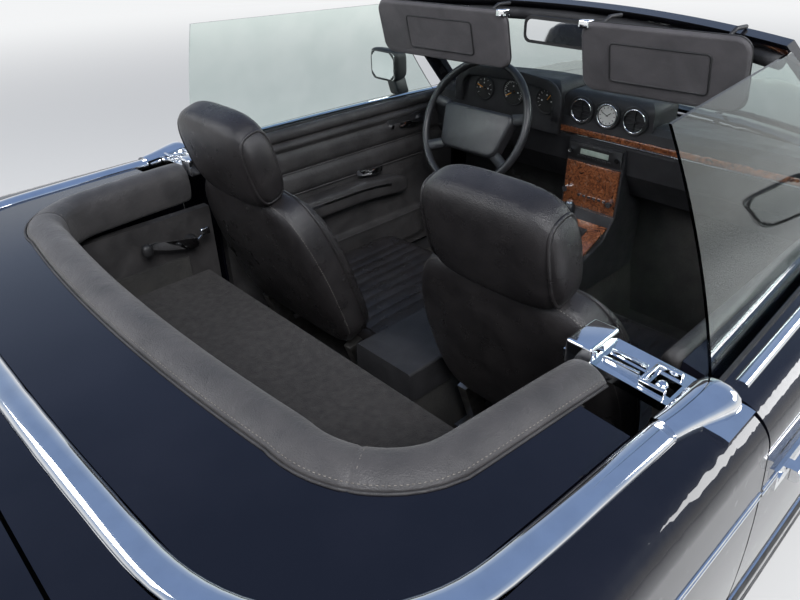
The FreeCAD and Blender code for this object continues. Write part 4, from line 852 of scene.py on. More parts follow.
def rib(verts, sinks, depth, inside):
    """Sew narrow channels: points in a panel sink along one axis towards each seam line."""
    for vert in verts:
        share = inside(vert.co)
        if share > 0:
            phase = abs(((vert.co.y / RIB_PITCH) % 1.0) - 0.5) * 2
            vert.co[sinks] -= depth * share * phase ** RIB_PUSH


def step_in(value, low, high, soft):
    """1 between low and high, fading to 0 outside over `soft`."""
    return max(0.0, min(1.0, (value - low) / soft + 1, (high - value) / soft + 1))


for name, middle, front in SEATS:
    print(name, "seat hinges at", [round(v, 3) for v in back_place(middle, front).translation])

# %% Cushions, backs and headrests
def cushion_shape():
    """A crowned cushion with raised sides and a raised front."""
    bm = soft_block(CUSHION, cuts=(22, 60, 6), power=7)
    for vert in bm.verts:
        along, across, height = vert.co
        if height > 0:
            side = min(1, max(0.0, abs(across) - 0.165) / 0.08)
            vert.co.z += 0.006 * (1 - (along / 0.25) ** 2) - 0.010 * (1 - side) + 0.006 * side
            vert.co.z += 0.014 * max(0.0, along - 0.10) / 0.15
        else:
            vert.co.x *= 0.97
    rib(bm.verts, 2, 0.010,
        lambda co: step_in(co.y, -0.160, 0.160, 0.01) * step_in(co.x, -0.24, 0.19, 0.02) * (co.z > 0.03))
    return bm


def back_shape():
    """A back with side wings, narrower at its shoulders and a little at its foot."""
    bm = soft_block(BACK, cuts=(8, 60, 22), power=6)
    for vert in bm.verts:
        rise = vert.co.z / (BACK[2] / 2)
        vert.co.y *= 1 - 0.20 * max(0.0, rise) ** 1.6 - 0.05 * max(0.0, -rise) ** 3
        if vert.co.x > 0.02:
            wing = min(1, max(0.0, abs(vert.co.y) - 0.140) / 0.08)
            vert.co.x += -0.012 * (1 - wing) + 0.010 * wing
        elif vert.co.x < -0.02:
            vert.co.x += 0.010 * rise ** 2
    rib(bm.verts, 0, 0.009,
        lambda co: step_in(co.y, -0.135, 0.135, 0.01) * step_in(co.z, -0.20, 0.16, 0.02) * (co.x > 0.03))
    bmesh.ops.translate(bm, vec=(0.0575, 0.250, 0.235), verts=bm.verts)
    return bm


def headrest_shape():
    """A deep pad that is pinched where its side panels are sewn on."""
    bm = soft_block(HEADREST, cuts=(10, 36, 16), power=3.6)
    for vert in bm.verts:
        rise = vert.co.z / (HEADREST[2] / 2)
        vert.co.x *= 1.0 - 0.10 * max(0.0, -rise)
        vert.co.y *= 1.0 - 0.06 * max(0.0, rise) ** 2
        crease = max(0.0, 1 - abs(abs(vert.co.y) - HEADREST_CREASE) / 0.016)
        vert.co.x *= 1 - 0.07 * crease
        vert.co.z *= 1 - 0.03 * crease
        vert.co.x += 0.008 * rise
    bmesh.ops.translate(bm, vec=(0.052, 0.250, HEADREST_MIDDLE), verts=bm.verts)
    return bm


for name, middle, front in SEATS:
    place = back_place(middle, front)
    bm = cushion_shape()
    bmesh.ops.translate(bm, vec=(front - CUSHION[0] / 2, middle, CUSHION_MIDDLE), verts=bm.verts)
    cushion = new_piece(f"{name}_cushion", bm, seat_leather, "body", levels=1)

    bm = back_shape()
    bmesh.ops.transform(bm, matrix=place, verts=bm.verts)
    back = new_piece(f"{name}_back", bm, seat_leather, "body", levels=1)

    bm = headrest_shape()
    bmesh.ops.transform(bm, matrix=place, verts=bm.verts)
    headrest = new_piece(f"{name}_headrest", bm, seat_leather, "body", levels=1)

    forward = place.col[0].xyz
    loops = [cut_line(headrest, place @ Vector((0, 0.250 + side * HEADREST_CREASE, 0)), (0, 1, 0))
             for side in (-1, 1)]
    loops.append(cut_line(back, place @ Vector((0.086, 0, 0)), forward))
    loops.append(cut_line(cushion, (0, 0, 0.448), UP))
    piping(f"{name}_piping", loops, 0.0040, seat_leather, "body")

    bm = bmesh.new()
    spine = cut_line(back, place @ Vector((0.030, 0, 0)), forward,
                     lambda p: (place.inverted() @ p).z > 0.06)
    stitches(bm, spine, pitch=0.007, up=-forward)
    new_piece(f"{name}_stitches", bm, thread, "body")
    print(name, "seat:", len(back.data.polygons), "faces in its back")
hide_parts("seat_cushions")
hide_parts("seat_backs")

# %% [markdown]
# ## Steering wheel
# The rim is a ring of moulded foam, a little oval, with shallow finger grips on its far side. One
# small circle is spun into it. The padded boss is a wide block that narrows downwards, and four spokes
# run from its corners to the rim. It is modelled flat around its own hub and then placed by one
# matrix, tilted 25 degrees with the column.

# %% Rim of the steering wheel
HUB, WHEEL_TILT = (0.328, 0.360, 0.884), -65
RIM, SECTION, GRIPS = 0.200, 0.0132, 36
wheel_place = moved(*HUB) @ turned("Y", WHEEL_TILT)
bm = bmesh.new()
ring = bmesh.ops.create_circle(bm, segments=14, radius=SECTION)["verts"]
bmesh.ops.scale(bm, vec=(0.94, 1.06, 1), verts=ring)
bmesh.ops.rotate(bm, matrix=Matrix.Rotation(math.radians(90), 3, "X"), verts=ring)
bmesh.ops.translate(bm, vec=(RIM, 0, 0), verts=ring)
bmesh.ops.spin(bm, geom=bm.verts[:] + bm.edges[:], cent=(0, 0, 0), axis=UP, angle=2 * math.pi, steps=144,
               use_merge=True)
for vert in bm.verts:
    if vert.co.z < -0.002:
        vert.co.z += 0.0014 * (math.cos(GRIPS * math.atan2(vert.co.y, vert.co.x)) + 1) / 2
bmesh.ops.transform(bm, matrix=wheel_place, verts=bm.verts)
new_piece("steering_rim", bm, wheel_foam, "steering_wheel", replaced=("steering_wheel",))
print("steering wheel", round(2 * (RIM + SECTION), 3), "m across")

# %% Boss and spokes
SPOKES = (
    # inner end down the wheel and across, outer end down the wheel and across
    (0.040, 0.130, 0.052, 0.186),
    (-0.076, 0.100, -0.104, 0.160),
)
SPOKE = in_mm((-17, -4), (-13, -8), (13, -8), (17, -4), (17, 3), (12, 7), (-12, 7), (-17, 3))
bm = bmesh.new()
pad = plain_box(bm, -0.092, 0.053, -0.13, 0.13, -0.034, 0.002)
for vert in pad:
    vert.co.y *= 1.13 if vert.co.x > 0 else 0.87
round_off(bm, edges_along(bm, 2), 0.030, 6)
round_off(bm, [e for e in bm.edges if all(v.co.z > 0.001 for v in e.verts)], 0.011, 4)
long_edges = [e for e in bm.edges if e.calc_length() > 0.04]
bmesh.ops.subdivide_edges(bm, edges=long_edges, cuts=4, use_grid_fill=True)
for vert in bm.verts:
    if vert.co.z > -0.004:
        vert.co.z += 0.005 * (1 - (vert.co.y / 0.15) ** 2)
for x0, y0, x1, y1 in SPOKES:
    for side, _ in SIDES:
        path = [Vector((x0, side * y0, -0.016)), Vector(((x0 + x1) / 2, side * (y0 + y1) / 2, -0.013)),
                Vector((x1, side * y1, -0.003))]
        sweep(bm, SPOKE, stops_along(path))
peg(bm, moved(0, 0, -0.038), 0.037, 0.052, 0.020, 40)
bmesh.ops.transform(bm, matrix=wheel_place, verts=bm.verts)
new_piece("steering_boss", bm, wheel_foam, "steering_wheel", sharp=40)
print("boss and", 2 * len(SPOKES), "spokes")

# %% [markdown]
# ## Instruments
# Three round gauges stand in a hooded cluster before the driver, and two round vents flank a clock in
# the middle of the dash. Each is the same small set: a ring, a face with its marks, and a needle or
# two. The vents have crossed blades in place of a face. Every face looks straight back along the car,
# so all of it is built in the plane across the car.

# %% Round parts of the dash
def ring_on_dash(bm, x, y, z, radius, thickness):
    """A round moulding whose axis runs along the car."""
    circle = [Vector((x, y + across, z + height)) for across, height in circle_profile(radius, 40)]
    tube(bm, circle, thickness, 8, FORWARD, closed=True)


def disc_on_dash(bm, x, y, z, radius, depth=0.004):
    """A flat disc that faces along the car."""
    peg(bm, moved(x, y, z) @ turned("Y", 90), radius, radius, depth, 36)


def bar_on_dash(bm, x, y, z, angle, start, end, width):
    """A thin bar on a dial, pointing `angle` degrees to the right of straight up."""
    made = plain_box(bm, -0.0006, 0.0006, -width / 2, width / 2, start, end)
    bmesh.ops.transform(bm, matrix=moved(x, y, z) @ turned("X", angle), verts=made)


print("helpers for round parts are ready")

# %% Gauges
FACE_X, FIRST_MARK, MARK_RANGE = 0.4785, -125, 250
DIALS = (
    # across, up, radius, needle angle, marks
    (0.445, 0.958, 0.037, -70, 9),
    (0.322, 0.964, 0.041, -118, 25),
    (0.190, 0.958, 0.039, 35, 13),
)
faces, rings, marks, needles = bmesh.new(), bmesh.new(), bmesh.new(), bmesh.new()
for y, z, radius, angle, count in DIALS:
    disc_on_dash(faces, FACE_X, y, z, radius)
    ring_on_dash(rings, FACE_X - 0.002, y, z, radius + 0.001, 0.0028)
    for i in range(count):
        turn = FIRST_MARK + MARK_RANGE * i / (count - 1)
        long = 0.007 if i % 2 == 0 else 0.004
        bar_on_dash(marks, FACE_X - 0.0024, y, z, turn, radius - 0.005 - long, radius - 0.005, 0.0012)
    for turn in (-90, 0, 90):
        bar_on_dash(marks, FACE_X - 0.0024, y, z, turn, radius * 0.40, radius * 0.52, 0.004)
    bar_on_dash(needles, FACE_X - 0.0038, y, z, angle, -0.006, radius * 0.80, 0.0024)
    disc_on_dash(faces, FACE_X - 0.0045, y, z, 0.0055, 0.003)
new_piece("gauge_faces", faces, gauge_black, "body", sharp=40)
new_piece("gauge_rings", rings, black_plastic, "body")
new_piece("gauge_marks", marks, dial_white, "body", sharp=40)
new_piece("gauge_needles", needles, needle_orange, "body", sharp=40)
print(len(DIALS), "gauges")

# %% Lip of the gauge hood
LIP_X = 0.468
LIP_ARCS = (
    # three points of an arc, each across and up, then its number of pieces
    ((0.548, 0.962), (0.528, 0.998), (0.490, 1.012), 6),
    ((0.490, 1.012), (0.345, 1.020), (0.200, 1.012), 8),
    ((0.200, 1.012), (0.160, 0.998), (0.142, 0.962), 6),
)
HOOD_LIP = in_mm((-16, -6), (-10, -7), (14, -7), (18, -4), (18, 3), (12, 6), (-12, 4), (-16, 0))
path = [Vector((LIP_X, 0.548, 0.905)), Vector((LIP_X, 0.548, 0.962))]
for *spots, count in LIP_ARCS:
    path += arc(*((LIP_X, y, z) for y, z in spots), count)[1:]
path.append(Vector((LIP_X, 0.142, 0.905)))
bm = bmesh.new()
sweep(bm, HOOD_LIP, stops_along(path, FORWARD))
round_off(bm, bm.edges[:], 0.0006, 1)
new_piece("gauge_hood_lip", bm, dash_vinyl, "body")
print("hood lip with", len(path), "stops")

# %% Vents and clock
PODS = ((0.074, "vent"), (-0.015, "clock"), (-0.104, "vent"))
POD_X, POD_HEIGHT, BLADE_PITCH, BLADE_REACH = 0.498, 0.946, 0.011, 0.030
barrels, rims, blades, faces, marks = bmesh.new(), bmesh.new(), bmesh.new(), bmesh.new(), bmesh.new()
for y, kind in PODS:
    x, z = POD_X, POD_HEIGHT
    ring_on_dash(rims, x - 0.004, y, z, 0.0335, 0.0022)
    ring_on_dash(barrels, x - 0.001, y, z, 0.0385, 0.0048)
    disc_on_dash(barrels, x + 0.012, y, z, 0.034, 0.010)
    if kind == "vent":
        for i in range(-2, 3):
            half, height = math.sqrt(BLADE_REACH ** 2 - (i * BLADE_PITCH) ** 2), z + i * BLADE_PITCH
            plain_box(blades, x - 0.001, x + 0.009, y - half, y + half, height - 0.0008, height + 0.0008)
        plain_box(blades, x - 0.004, x + 0.002, y - 0.0014, y + 0.0014, z - 0.031, z + 0.031)
        disc_on_dash(blades, x - 0.004, y, z, 0.006, 0.005)
    else:
        disc_on_dash(faces, x, y, z, 0.0285)
        for i in range(12):
            bar_on_dash(marks, x - 0.0024, y, z, 30 * i, 0.021, 0.026, 0.0016)
        bar_on_dash(marks, x - 0.0030, y, z, 52, -0.004, 0.015, 0.0022)
        bar_on_dash(marks, x - 0.0036, y, z, -64, -0.004, 0.021, 0.0016)
new_piece("vent_barrels", barrels, black_plastic, "body", sharp=40)
new_piece("vent_rings", rims, chrome, "body")
new_piece("vent_blades", blades, black_plastic, "body", sharp=40)
new_piece("clock_face", faces, dial_white, "body", sharp=40)
new_piece("clock_marks", marks, gauge_black, "body", sharp=40)
print(len(PODS), "round pods")

# %% [markdown]
# ## Wood, radio and gear lever
# A strip of burl wood with a bright line under it crosses the dash. The same wood faces the panel
# below the radio and the top of the console, where the gear lever stands in its gate. The radio is a
# black face with a pale window and two rows of small keys.

# %% Wood and bright trim
console_slope = moved(0.367, 0, 0.5795) @ turned("Y", -21.5)
bm = bmesh.new()
plain_box(bm, 0.4865, 0.4945, -0.655, 0.136, 0.8745, 0.8925, 0.0022)
plain_box(bm, 0.4765, 0.4865, -0.094, 0.092, 0.648, 0.793, 0.0022)
top = plain_box(bm, -0.090, 0.095, -0.094, 0.092, -0.003, 0.004, 0.0022)
bmesh.ops.transform(bm, matrix=console_slope, verts=top)
new_piece("wood_trim", bm, burl, "body", sharp=50)

bm = bmesh.new()
plain_box(bm, 0.4855, 0.4935, -0.655, 0.170, 0.8700, 0.8732, 0.0008)
plain_box(bm, 0.4735, 0.4790, -0.096, 0.094, 0.6425, 0.6460, 0.0008)
for y in (-0.058, -0.040, -0.022, -0.004, 0.014, 0.032):
    plain_box(bm, 0.4725, 0.4775, y - 0.0055, y + 0.0055, 0.684, 0.692, 0.0012)
for y, z in ((-0.080, 0.688), (0.080, 0.700)):
    disc_on_dash(bm, 0.470, y, z, 0.0095, 0.018)
for y in (-0.083, 0.081):
    disc_on_dash(bm, 0.476, y, 0.828, 0.0080, 0.016)
new_piece("bright_trim", bm, chrome, "body", sharp=40)
print("wood and bright trim")

# %% Radio
KEY_START, KEY_PITCH, KEY_ROWS = -0.054, 0.0175, (0.812, 0.844)
bm = bmesh.new()
plain_box(bm, 0.4780, 0.4880, -0.094, 0.092, 0.802, 0.853, 0.0020)
for z in KEY_ROWS:
    for i in range(7):
        y = KEY_START + i * KEY_PITCH
        plain_box(bm, 0.4755, 0.4785, y - 0.0068, y + 0.0068, z - 0.0035, z + 0.0035, 0.0008)
new_piece("radio", bm, black_plastic, "body", sharp=40)
bm = bmesh.new()
plain_box(bm, 0.4768, 0.4785, -0.050, 0.048, 0.820, 0.837, 0.0008)
new_piece("radio_window", bm, display_green, "body", sharp=40)
print("radio with", 7 * len(KEY_ROWS), "keys")

# %% Gear lever
foot = console_slope @ Vector((0.012, -0.012, 0.004))
bm = bmesh.new()
gate = plain_box(bm, -0.050, 0.062, -0.046, 0.030, 0.0035, 0.0062, 0.001)
bmesh.ops.transform(bm, matrix=console_slope, verts=gate)
tube(bm, [foot, foot + Vector((-0.010, 0, 0.035)), foot + Vector((-0.022, 0, 0.078))], 0.0065, 12)
peg(bm, moved(foot.x - 0.002, foot.y, foot.z + 0.014), 0.030, 0.010, 0.026)
new_piece("gear_lever", bm, black_plastic, "body", sharp=50)
bm = soft_block((0.034, 0.038, 0.052), cuts=(5, 5, 6), power=2.6)
bmesh.ops.translate(bm, vec=foot + Vector((-0.025, 0, 0.100)), verts=bm.verts)
new_piece("gear_knob", bm, wheel_foam, "body", levels=1)
bm = bmesh.new()
peg(bm, moved(foot.x - 0.025, foot.y, foot.z + 0.127), 0.0125, 0.0105, 0.005)
new_piece("gear_button", bm, chrome, "body", sharp=40)
print("gear lever")

# %% [markdown]
# ## Carpet and pedals
# Loose carpet covers the floor and the tunnel's sides. It is a grid dropped on the solid floor, a few
# millimetres above it. Pedals hang from their arms in the driver's footwell, and five thin ribs cross
# each pad.

# %% Floor carpet
CARPET_REAR, CARPET_LENGTH, CARPET_LIFT, FLOOR_HEIGHT = -0.535, 1.150, 0.005, 0.232
floor_tree = tree_of("floor_pan", "console")
bm = bmesh.new()
for y0, y1 in ((0.118, 0.690), (-0.690, -0.118)):
    for vert in bmesh.ops.create_grid(bm, x_segments=60, y_segments=34, size=1.0)["verts"]:
        x = CARPET_REAR + CARPET_LENGTH * (vert.co.x + 1) / 2
        y = y0 + (y1 - y0) * (vert.co.y + 1) / 2
        height = drop_on(floor_tree, x, y, 0.62)
        if height is None:
            height = FLOOR_HEIGHT
        ripple = 0.0012 * math.sin(x * 41 + y * 13) * math.cos(y * 37)
        vert.co = Vector((x, y, height + CARPET_LIFT + ripple))
new_piece("floor_carpet", bm, carpet, "body")
print("floor carpet")

# %% Pedals
PEDALS = (
    # middle across, width and height of the pad, forward, up
    (0.455, 0.058, 0.060, 0.560, 0.375),
    (0.360, 0.090, 0.060, 0.560, 0.375),
    (0.235, 0.052, 0.130, 0.575, 0.320),
)
PEDAL_ARM = in_mm((-9, -3), (9, -3), (9, 3), (-9, 3))
pads, arms = bmesh.new(), bmesh.new()
for y, width, tall, x, z in PEDALS:
    half, place = width / 2, moved(x, y, z) @ turned("Y", -32)
    made = plain_box(pads, -0.006, 0.006, -half, half, -tall / 2, tall / 2, 0.004, 2)
    bmesh.ops.transform(pads, matrix=place, verts=made)
    for i in range(5):
        rung = tall * (0.19 * i - 0.38)
        made = plain_box(pads, -0.0085, -0.005, 0.006 - half, half - 0.006, rung - 0.002, rung + 0.002)
        bmesh.ops.transform(pads, matrix=place, verts=made)
    hang = [Vector((x + 0.008, y, z)), Vector((x + 0.040, y, z + 0.10)), Vector((x + 0.030, y, z + 0.26))]
    sweep(arms, PEDAL_ARM, stops_along(hang, -FORWARD))
new_piece("pedal_pads", pads, black_rubber, "body", sharp=30)
new_piece("pedal_arms", arms, black_plastic, "body", sharp=30)
print(len(PEDALS), "pedals")

# %% [markdown]
# ## Door cards
# Each door's inside is a padded vinyl card. Three horizontal seams, covered by piping, edge the long
# pillows of its upper half, an armrest stands out under them, and a map pocket runs along the foot. The
# card is a fine grid whose points are pushed inwards by a few smooth hills, and its rim is then drawn
# out to the door. The armrest is a soft block that droops towards the front.

# %% Shape of the door cards
CARD_Y, CARD_FOOT, CARD_TOP, CARD_REAR, CARD_EDGE = 0.694, 0.330, 0.870, -0.432, 0.026
SEAMS = (0.690, 0.766, 0.842)
PILLOW, POCKET_FOOT, POCKET_BULGE = 0.014, 0.345, 0.030
FRONT_LINE = (
    # height, where the card ends at the front
    (0.33, 0.560), (0.42, 0.588), (0.80, 0.596), (0.88, 0.590),
)


def swell(value, low, high, power):
    """A hill that is 0 at both ends and full between them."""
    t = (value - low) / (high - low) * 2 - 1
    return max(0.0, 1 - abs(t) ** power)


def pocket_width(x):
    """How full the map pocket is at a place along the door."""
    return swell(x, -0.28, 0.44, 12)


def card_depth(x, z):
    """How far the card stands into the cabin at a point."""
    depth = 0.0
    levels = SEAMS + (CARD_TOP,)
    for low, high in zip(levels, levels[1:]):
        if low <= z < high:
            depth = PILLOW * swell(z, low, high, 3) * swell(x, -0.44, 0.60, 30)
    if z < 0.485:
        rise = z - POCKET_FOOT
        bulge = pocket_width(x) * min(1.0, max(0.0, rise / 0.03))
        depth = POCKET_BULGE * bulge * (0.55 + 0.45 * rise / 0.14) if z < 0.478 else 0.004 * bulge
    return depth


def card_front(z):
    """Where the card ends at the front: it follows the foot of the windscreen post."""
    for (z0, x0), (z1, x1) in zip(FRONT_LINE, FRONT_LINE[1:]):
        if z0 <= z <= z1:
            return x0 + (x1 - x0) * (z - z0) / (z1 - z0)
    return FRONT_LINE[0][1]


print("a card is", PILLOW, "m deep in its pillows and", POCKET_BULGE, "m in its pocket")

# %% Parts of a door card
FLAT_BAR = in_mm((-3.5, -10), (3.5, -10), (4.5, 0), (3.5, 10), (-3.5, 10), (-4.5, 0))
ARMREST_STRIP = in_mm((-1.6, -4), (1.6, -4), (1.6, 4), (-1.6, 4))


def card_panel(side):
    """The card itself, a grid with its rim drawn out to the door."""
    bm = bmesh.new()
    bmesh.ops.create_grid(bm, x_segments=110, y_segments=84, size=1.0)
    for vert in bm.verts:
        u, v = (vert.co.x + 1) / 2, (vert.co.y + 1) / 2
        z = CARD_FOOT + (CARD_TOP - CARD_FOOT) * v
        x = CARD_REAR + (card_front(z) - CARD_REAR) * u
        vert.co = Vector((x, side * (CARD_Y - card_depth(x, z)), z))
    rim = [e for e in bm.edges if e.is_boundary]
    for made in bmesh.ops.extrude_edge_only(bm, edges=rim)["geom"]:
        if isinstance(made, bmesh.types.BMVert):
            made.co.y = side * (CARD_Y + CARD_EDGE)
    return bm


def card_piping(side):
    """Piping over the seams and along the mouth of the pocket."""
    bm = bmesh.new()
    for z in SEAMS:
        path = [Vector((-0.425 + i * 0.050, side * (CARD_Y - 0.0012), z)) for i in range(21)]
        path[-1].x = card_front(z) - 0.004
        tube(bm, path, 0.0042)
    mouth = [Vector((x, side * (CARD_Y - 0.004 - 0.026 * pocket_width(x)), 0.481))
             for x in [-0.27 + 0.0175 * i for i in range(41)]]
    tube(bm, mouth, 0.0034)
    return bm


def card_armrest(side):
    """A soft block that droops and narrows towards the front."""
    bm = soft_block((0.600, 0.062, 0.066), cuts=(28, 6, 6), power=5.0)
    for vert in bm.verts:
        along = vert.co.x + 0.3
        vert.co.z -= 0.030 * max(0.0, (along - 0.34) / 0.26) ** 2
        vert.co.y *= 1 - 0.22 * max(0.0, (along - 0.40) / 0.20)
        vert.co.z *= 1.0 if vert.co.z > 0 else 1.12
    bmesh.ops.translate(bm, vec=(0.015, side * (CARD_Y - 0.030), 0.640), verts=bm.verts)
    return bm


def card_pulls(side):
    """The bright strip of the armrest, the pull above it and the door's lever with its two screws."""
    bm = bmesh.new()
    path = []
    for i in range(13):
        along = 0.04 * i
        droop = 0.030 * max(0.0, (along - 0.30) / 0.26) ** 2
        path.append(Vector((-0.27 + along, side * (CARD_Y - 0.0615), 0.652 - droop)))
    sweep(bm, ARMREST_STRIP, stops_along(path))
    grip = arc((0.100, side * (CARD_Y - 0.006), 0.694), (0.155, side * (CARD_Y - 0.044), 0.700),
               (0.212, side * (CARD_Y - 0.006), 0.690), 14)
    sweep(bm, FLAT_BAR, stops_along(grip))
    lever = arc((0.400, side * (CARD_Y - 0.020), 0.822), (0.350, side * (CARD_Y - 0.034), 0.826),
                (0.292, side * (CARD_Y - 0.026), 0.826), 12)
    sweep(bm, FLAT_BAR, stops_along(lever, sizes=[1.15 - 0.04 * i for i in range(13)]))
    for x, radius in ((0.405, 0.013), (0.262, 0.007)):
        peg(bm, moved(x, side * (CARD_Y - 0.014), 0.824) @ turned("X", 90), radius, radius, 0.016)
    return bm


print("parts of a door card are ready")

# %% Door cards
for side, word in SIDES:
    door = f"door_{word}"
    new_piece(f"{door}_card", card_panel(side), door_vinyl, door, sharp=50,
              replaced=(f"{door}_trim",))
    new_piece(f"{door}_piping", card_piping(side), door_vinyl, door)
    new_piece(f"{door}_armrest", card_armrest(side), door_vinyl, door, levels=1)
    new_piece(f"{door}_bright_pulls", card_pulls(side), chrome, door, sharp=40)
    bm = bmesh.new()
    plain_box(bm, 0.246, 0.436, side * CARD_Y - 0.010, side * CARD_Y + 0.010, 0.800, 0.850, 0.008, 4)
    new_piece(f"{door}_handle_plate", bm, black_plastic, door, sharp=40)
print("door cards with", len(SEAMS), "piped seams each")

# %% [markdown]
# ## Belt line
# Along the top of each door a padded roll caps the card, rubber lips seal the window, and outside them
# a bright strip continues the deck's rail. The lips and the strip follow the door's own top, so each stop
# of their sweeps asks the solid how high it stands there.

# %% Belt line
SEAL = in_mm((-4, -6), (4, -6), (3, 3), (-3, 3))
BELT_STRIP = in_mm((-12, -3), (-10, 2), (-4, 4.2), (4, 4.2), (10, 2), (12, -3))
CAP_OUTLINE = [(0.017 * math.cos(a) * (1.0 if math.sin(a) > 0 else 1.05), 0.019 * math.sin(a))
               for a in [2 * math.pi * i / 16 for i in range(16)]]
LOWEST_BELT = 0.84


def along_belt(tree, rear, front, count, lift):
    """Points along the top of a door, between two (x, y) ends, `lift` above its surface."""
    points = []
    for i in range(count + 1):
        spot = Vector(rear).lerp(Vector(front), i / count)
        height = drop_on(tree, spot.x, spot.y)
        if height is not None and height > LOWEST_BELT:
            points.append(Vector((spot.x, spot.y, height + lift)))
    return points


for side, word in SIDES:
    door = f"door_{word}"
    door_tree = tree_of(door)
    bm = bmesh.new()
    path = [Vector((-0.436 + 0.0513 * i, side * 0.7060, 0.886 + 0.002 * swell(i, 0, 20, 2)))
            for i in range(21)]
    sweep(bm, CAP_OUTLINE, stops_along(path))
    new_piece(f"{door}_cap", bm, door_vinyl, door)

    bm = bmesh.new()
    for offset in (-0.0150, 0.0125):
        rear, front = (-0.446, side * (0.771 + offset)), (0.572, side * (0.733 + offset))
        sweep(bm, SEAL, stops_along(along_belt(door_tree, rear, front, 24, 0.002)))
    new_piece(f"{door}_seals", bm, black_rubber, door, sharp=40)

    bm = bmesh.new()
    path = along_belt(door_tree, (-0.459, side * 0.806), (0.636, side * 0.778), 30, 0.0012)
    sweep(bm, BELT_STRIP, stops_along(path))
    new_piece(f"{door}_belt_strip", bm, chrome, door, sharp=50)
print("belt lines")

# %% [markdown]
# ## Outside mirrors
# The housing is a soft block that narrows forwards, with a dished rear face and a foot on the door. The
# glass sits in that dish and looks back along the car.

# %% Outside mirrors
HOUSING, HOUSING_PLACE = (0.078, 0.146, 0.116), (0.4335, 0.8710, 0.9865)
DISH_DEPTH, FOOT_HEIGHT, FOOT_LEAN = 0.010, 0.888, 0.40
for side, word in SIDES:
    x, y, z = HOUSING_PLACE
    bm = soft_block(HOUSING, cuts=(10, 16, 14), power=5.5)
    for vert in bm.verts:
        ahead = vert.co.x / HOUSING[0] + 0.5
        vert.co.y *= 1 - 0.16 * ahead ** 2
        vert.co.z *= 1 - 0.22 * ahead ** 2
        if ahead < 0.02 and abs(vert.co.y) < 0.066 and abs(vert.co.z) < 0.050:
            vert.co.x += DISH_DEPTH
    bmesh.ops.translate(bm, vec=(x, side * y, z), verts=bm.verts)
    for vert in plain_box(bm, 0.400, 0.462, side * 0.7900, side * 0.8360, FOOT_HEIGHT, 0.9500, 0.010, 3):
        vert.co.y += side * FOOT_LEAN * (vert.co.z - FOOT_HEIGHT)
    new_piece(f"door_{word}_mirror_housing", bm, black_plastic, f"door_{word}", sharp=55,
              replaced=(f"door_{word}_mirror",))
    bm = bmesh.new()
    plain_box(bm, 0.3985, 0.4020, side * 0.8080, side * 0.9340, 0.9385, 1.0345)
    round_off(bm, edges_along(bm, 0), 0.014, 5)
    new_piece(f"door_{word}_mirror_glass", bm, mirror_glass, f"door_{word}", sharp=40)
print("outside mirrors")

# %% [markdown]
# ## Sun visors and inside mirror
# Each visor is a padded board with round corners, hung from the header on two arms. On its rear face
# a lid covers the vanity mirror, and a dark welt runs round that lid. A bright clip holds the visor's
# inner end. The board starts as a box whose corners and then rims are rounded.

# %% Parts of a visor
VISOR_X, VISOR_HEIGHT, VISOR_CORNER = 0.147, 1.188, 0.034


def round_corners(x, across, low, high, radius, count):
    """A closed loop across the car, with `count` points round each of its four corners."""
    loop = []
    corners = ((across, high), (-across, high), (-across, low), (across, low))
    for quarter, (y, z) in enumerate(corners):
        for i in range(count):
            turn = math.radians(90 * quarter + 90 * i / (count - 1))
            loop.append(Vector((x, y + radius * math.cos(turn), z + radius * math.sin(turn))))
    return loop


def visor_board(width, height):
    """A padded board with round corners."""
    bm = bmesh.new()
    plain_box(bm, -0.011, 0.011, -width / 2, width / 2, -height / 2, height / 2)
    round_off(bm, edges_along(bm, 0), VISOR_CORNER, 8)
    rims = [e for e in bm.edges if abs(e.verts[0].co.x - e.verts[1].co.x) < 1e-5]
    round_off(bm, rims, 0.0085, 5)
    return bm


def visor_lid():
    """The lid over the vanity mirror."""
    bm = bmesh.new()
    plain_box(bm, -0.0132, -0.0100, -0.112, 0.112, -0.046, 0.042)
    round_off(bm, edges_along(bm, 0), 0.006, 3)
    return bm


def visor_welts(width, height):
    """A welt round the lid and one round the board."""
    bm = bmesh.new()
    tube(bm, round_corners(-0.0125, 0.104, -0.038, 0.034, 0.009, 5), 0.0020, 8, FORWARD, closed=True)
    half, high = width / 2 - VISOR_CORNER, height / 2 - VISOR_CORNER
    tube(bm, round_corners(0.0, half, -high, high, 0.0345, 7), 0.0016, 8, FORWARD, closed=True)
    return bm


print("parts of a visor are ready")

# %% Visors
def visor(name, y0, y1, height, tilt, swing, replaced=()):
    """A visor between two places across the car, tipped back and swung a little round its arm."""
    width, middle = y1 - y0, (y0 + y1) / 2
    place = moved(VISOR_X, middle, VISOR_HEIGHT) @ turned("Z", swing) @ turned("Y", -tilt)
    board, lid, welts = visor_board(width, height), visor_lid(), visor_welts(width, height)
    for bm in (board, lid, welts):
        bmesh.ops.transform(bm, matrix=place, verts=bm.verts)
    new_piece(f"{name}_board", board, visor_vinyl, "body", sharp=60, replaced=replaced)
    new_piece(f"{name}_mirror_lid", lid, visor_vinyl, "body", sharp=40)
    new_piece(f"{name}_welts", welts, black_plastic, "body")

    bm = bmesh.new()
    for y in (y0 + 0.050, y1 - 0.050):
        foot = place @ Vector((0.0, y - middle, height / 2 - 0.004))
        tube(bm, [foot, foot + Vector((0.030, 0, 0.012)), foot + Vector((0.078, 0, 0.010))], 0.0045, 10)
    new_piece(f"{name}_arms", bm, black_plastic, "body")
    bm = bmesh.new()
    inner = y0 if abs(y0) < abs(y1) else y1
    spot = place @ Vector((0.0, inner - middle, height / 2 - 0.006))
    plain_box(bm, spot.x - 0.014, spot.x + 0.014, inner, inner + math.copysign(0.026, inner),
              spot.z - 0.010, spot.z + 0.008, 0.003, 3)
    new_piece(f"{name}_clip", bm, chrome, "body", sharp=40)


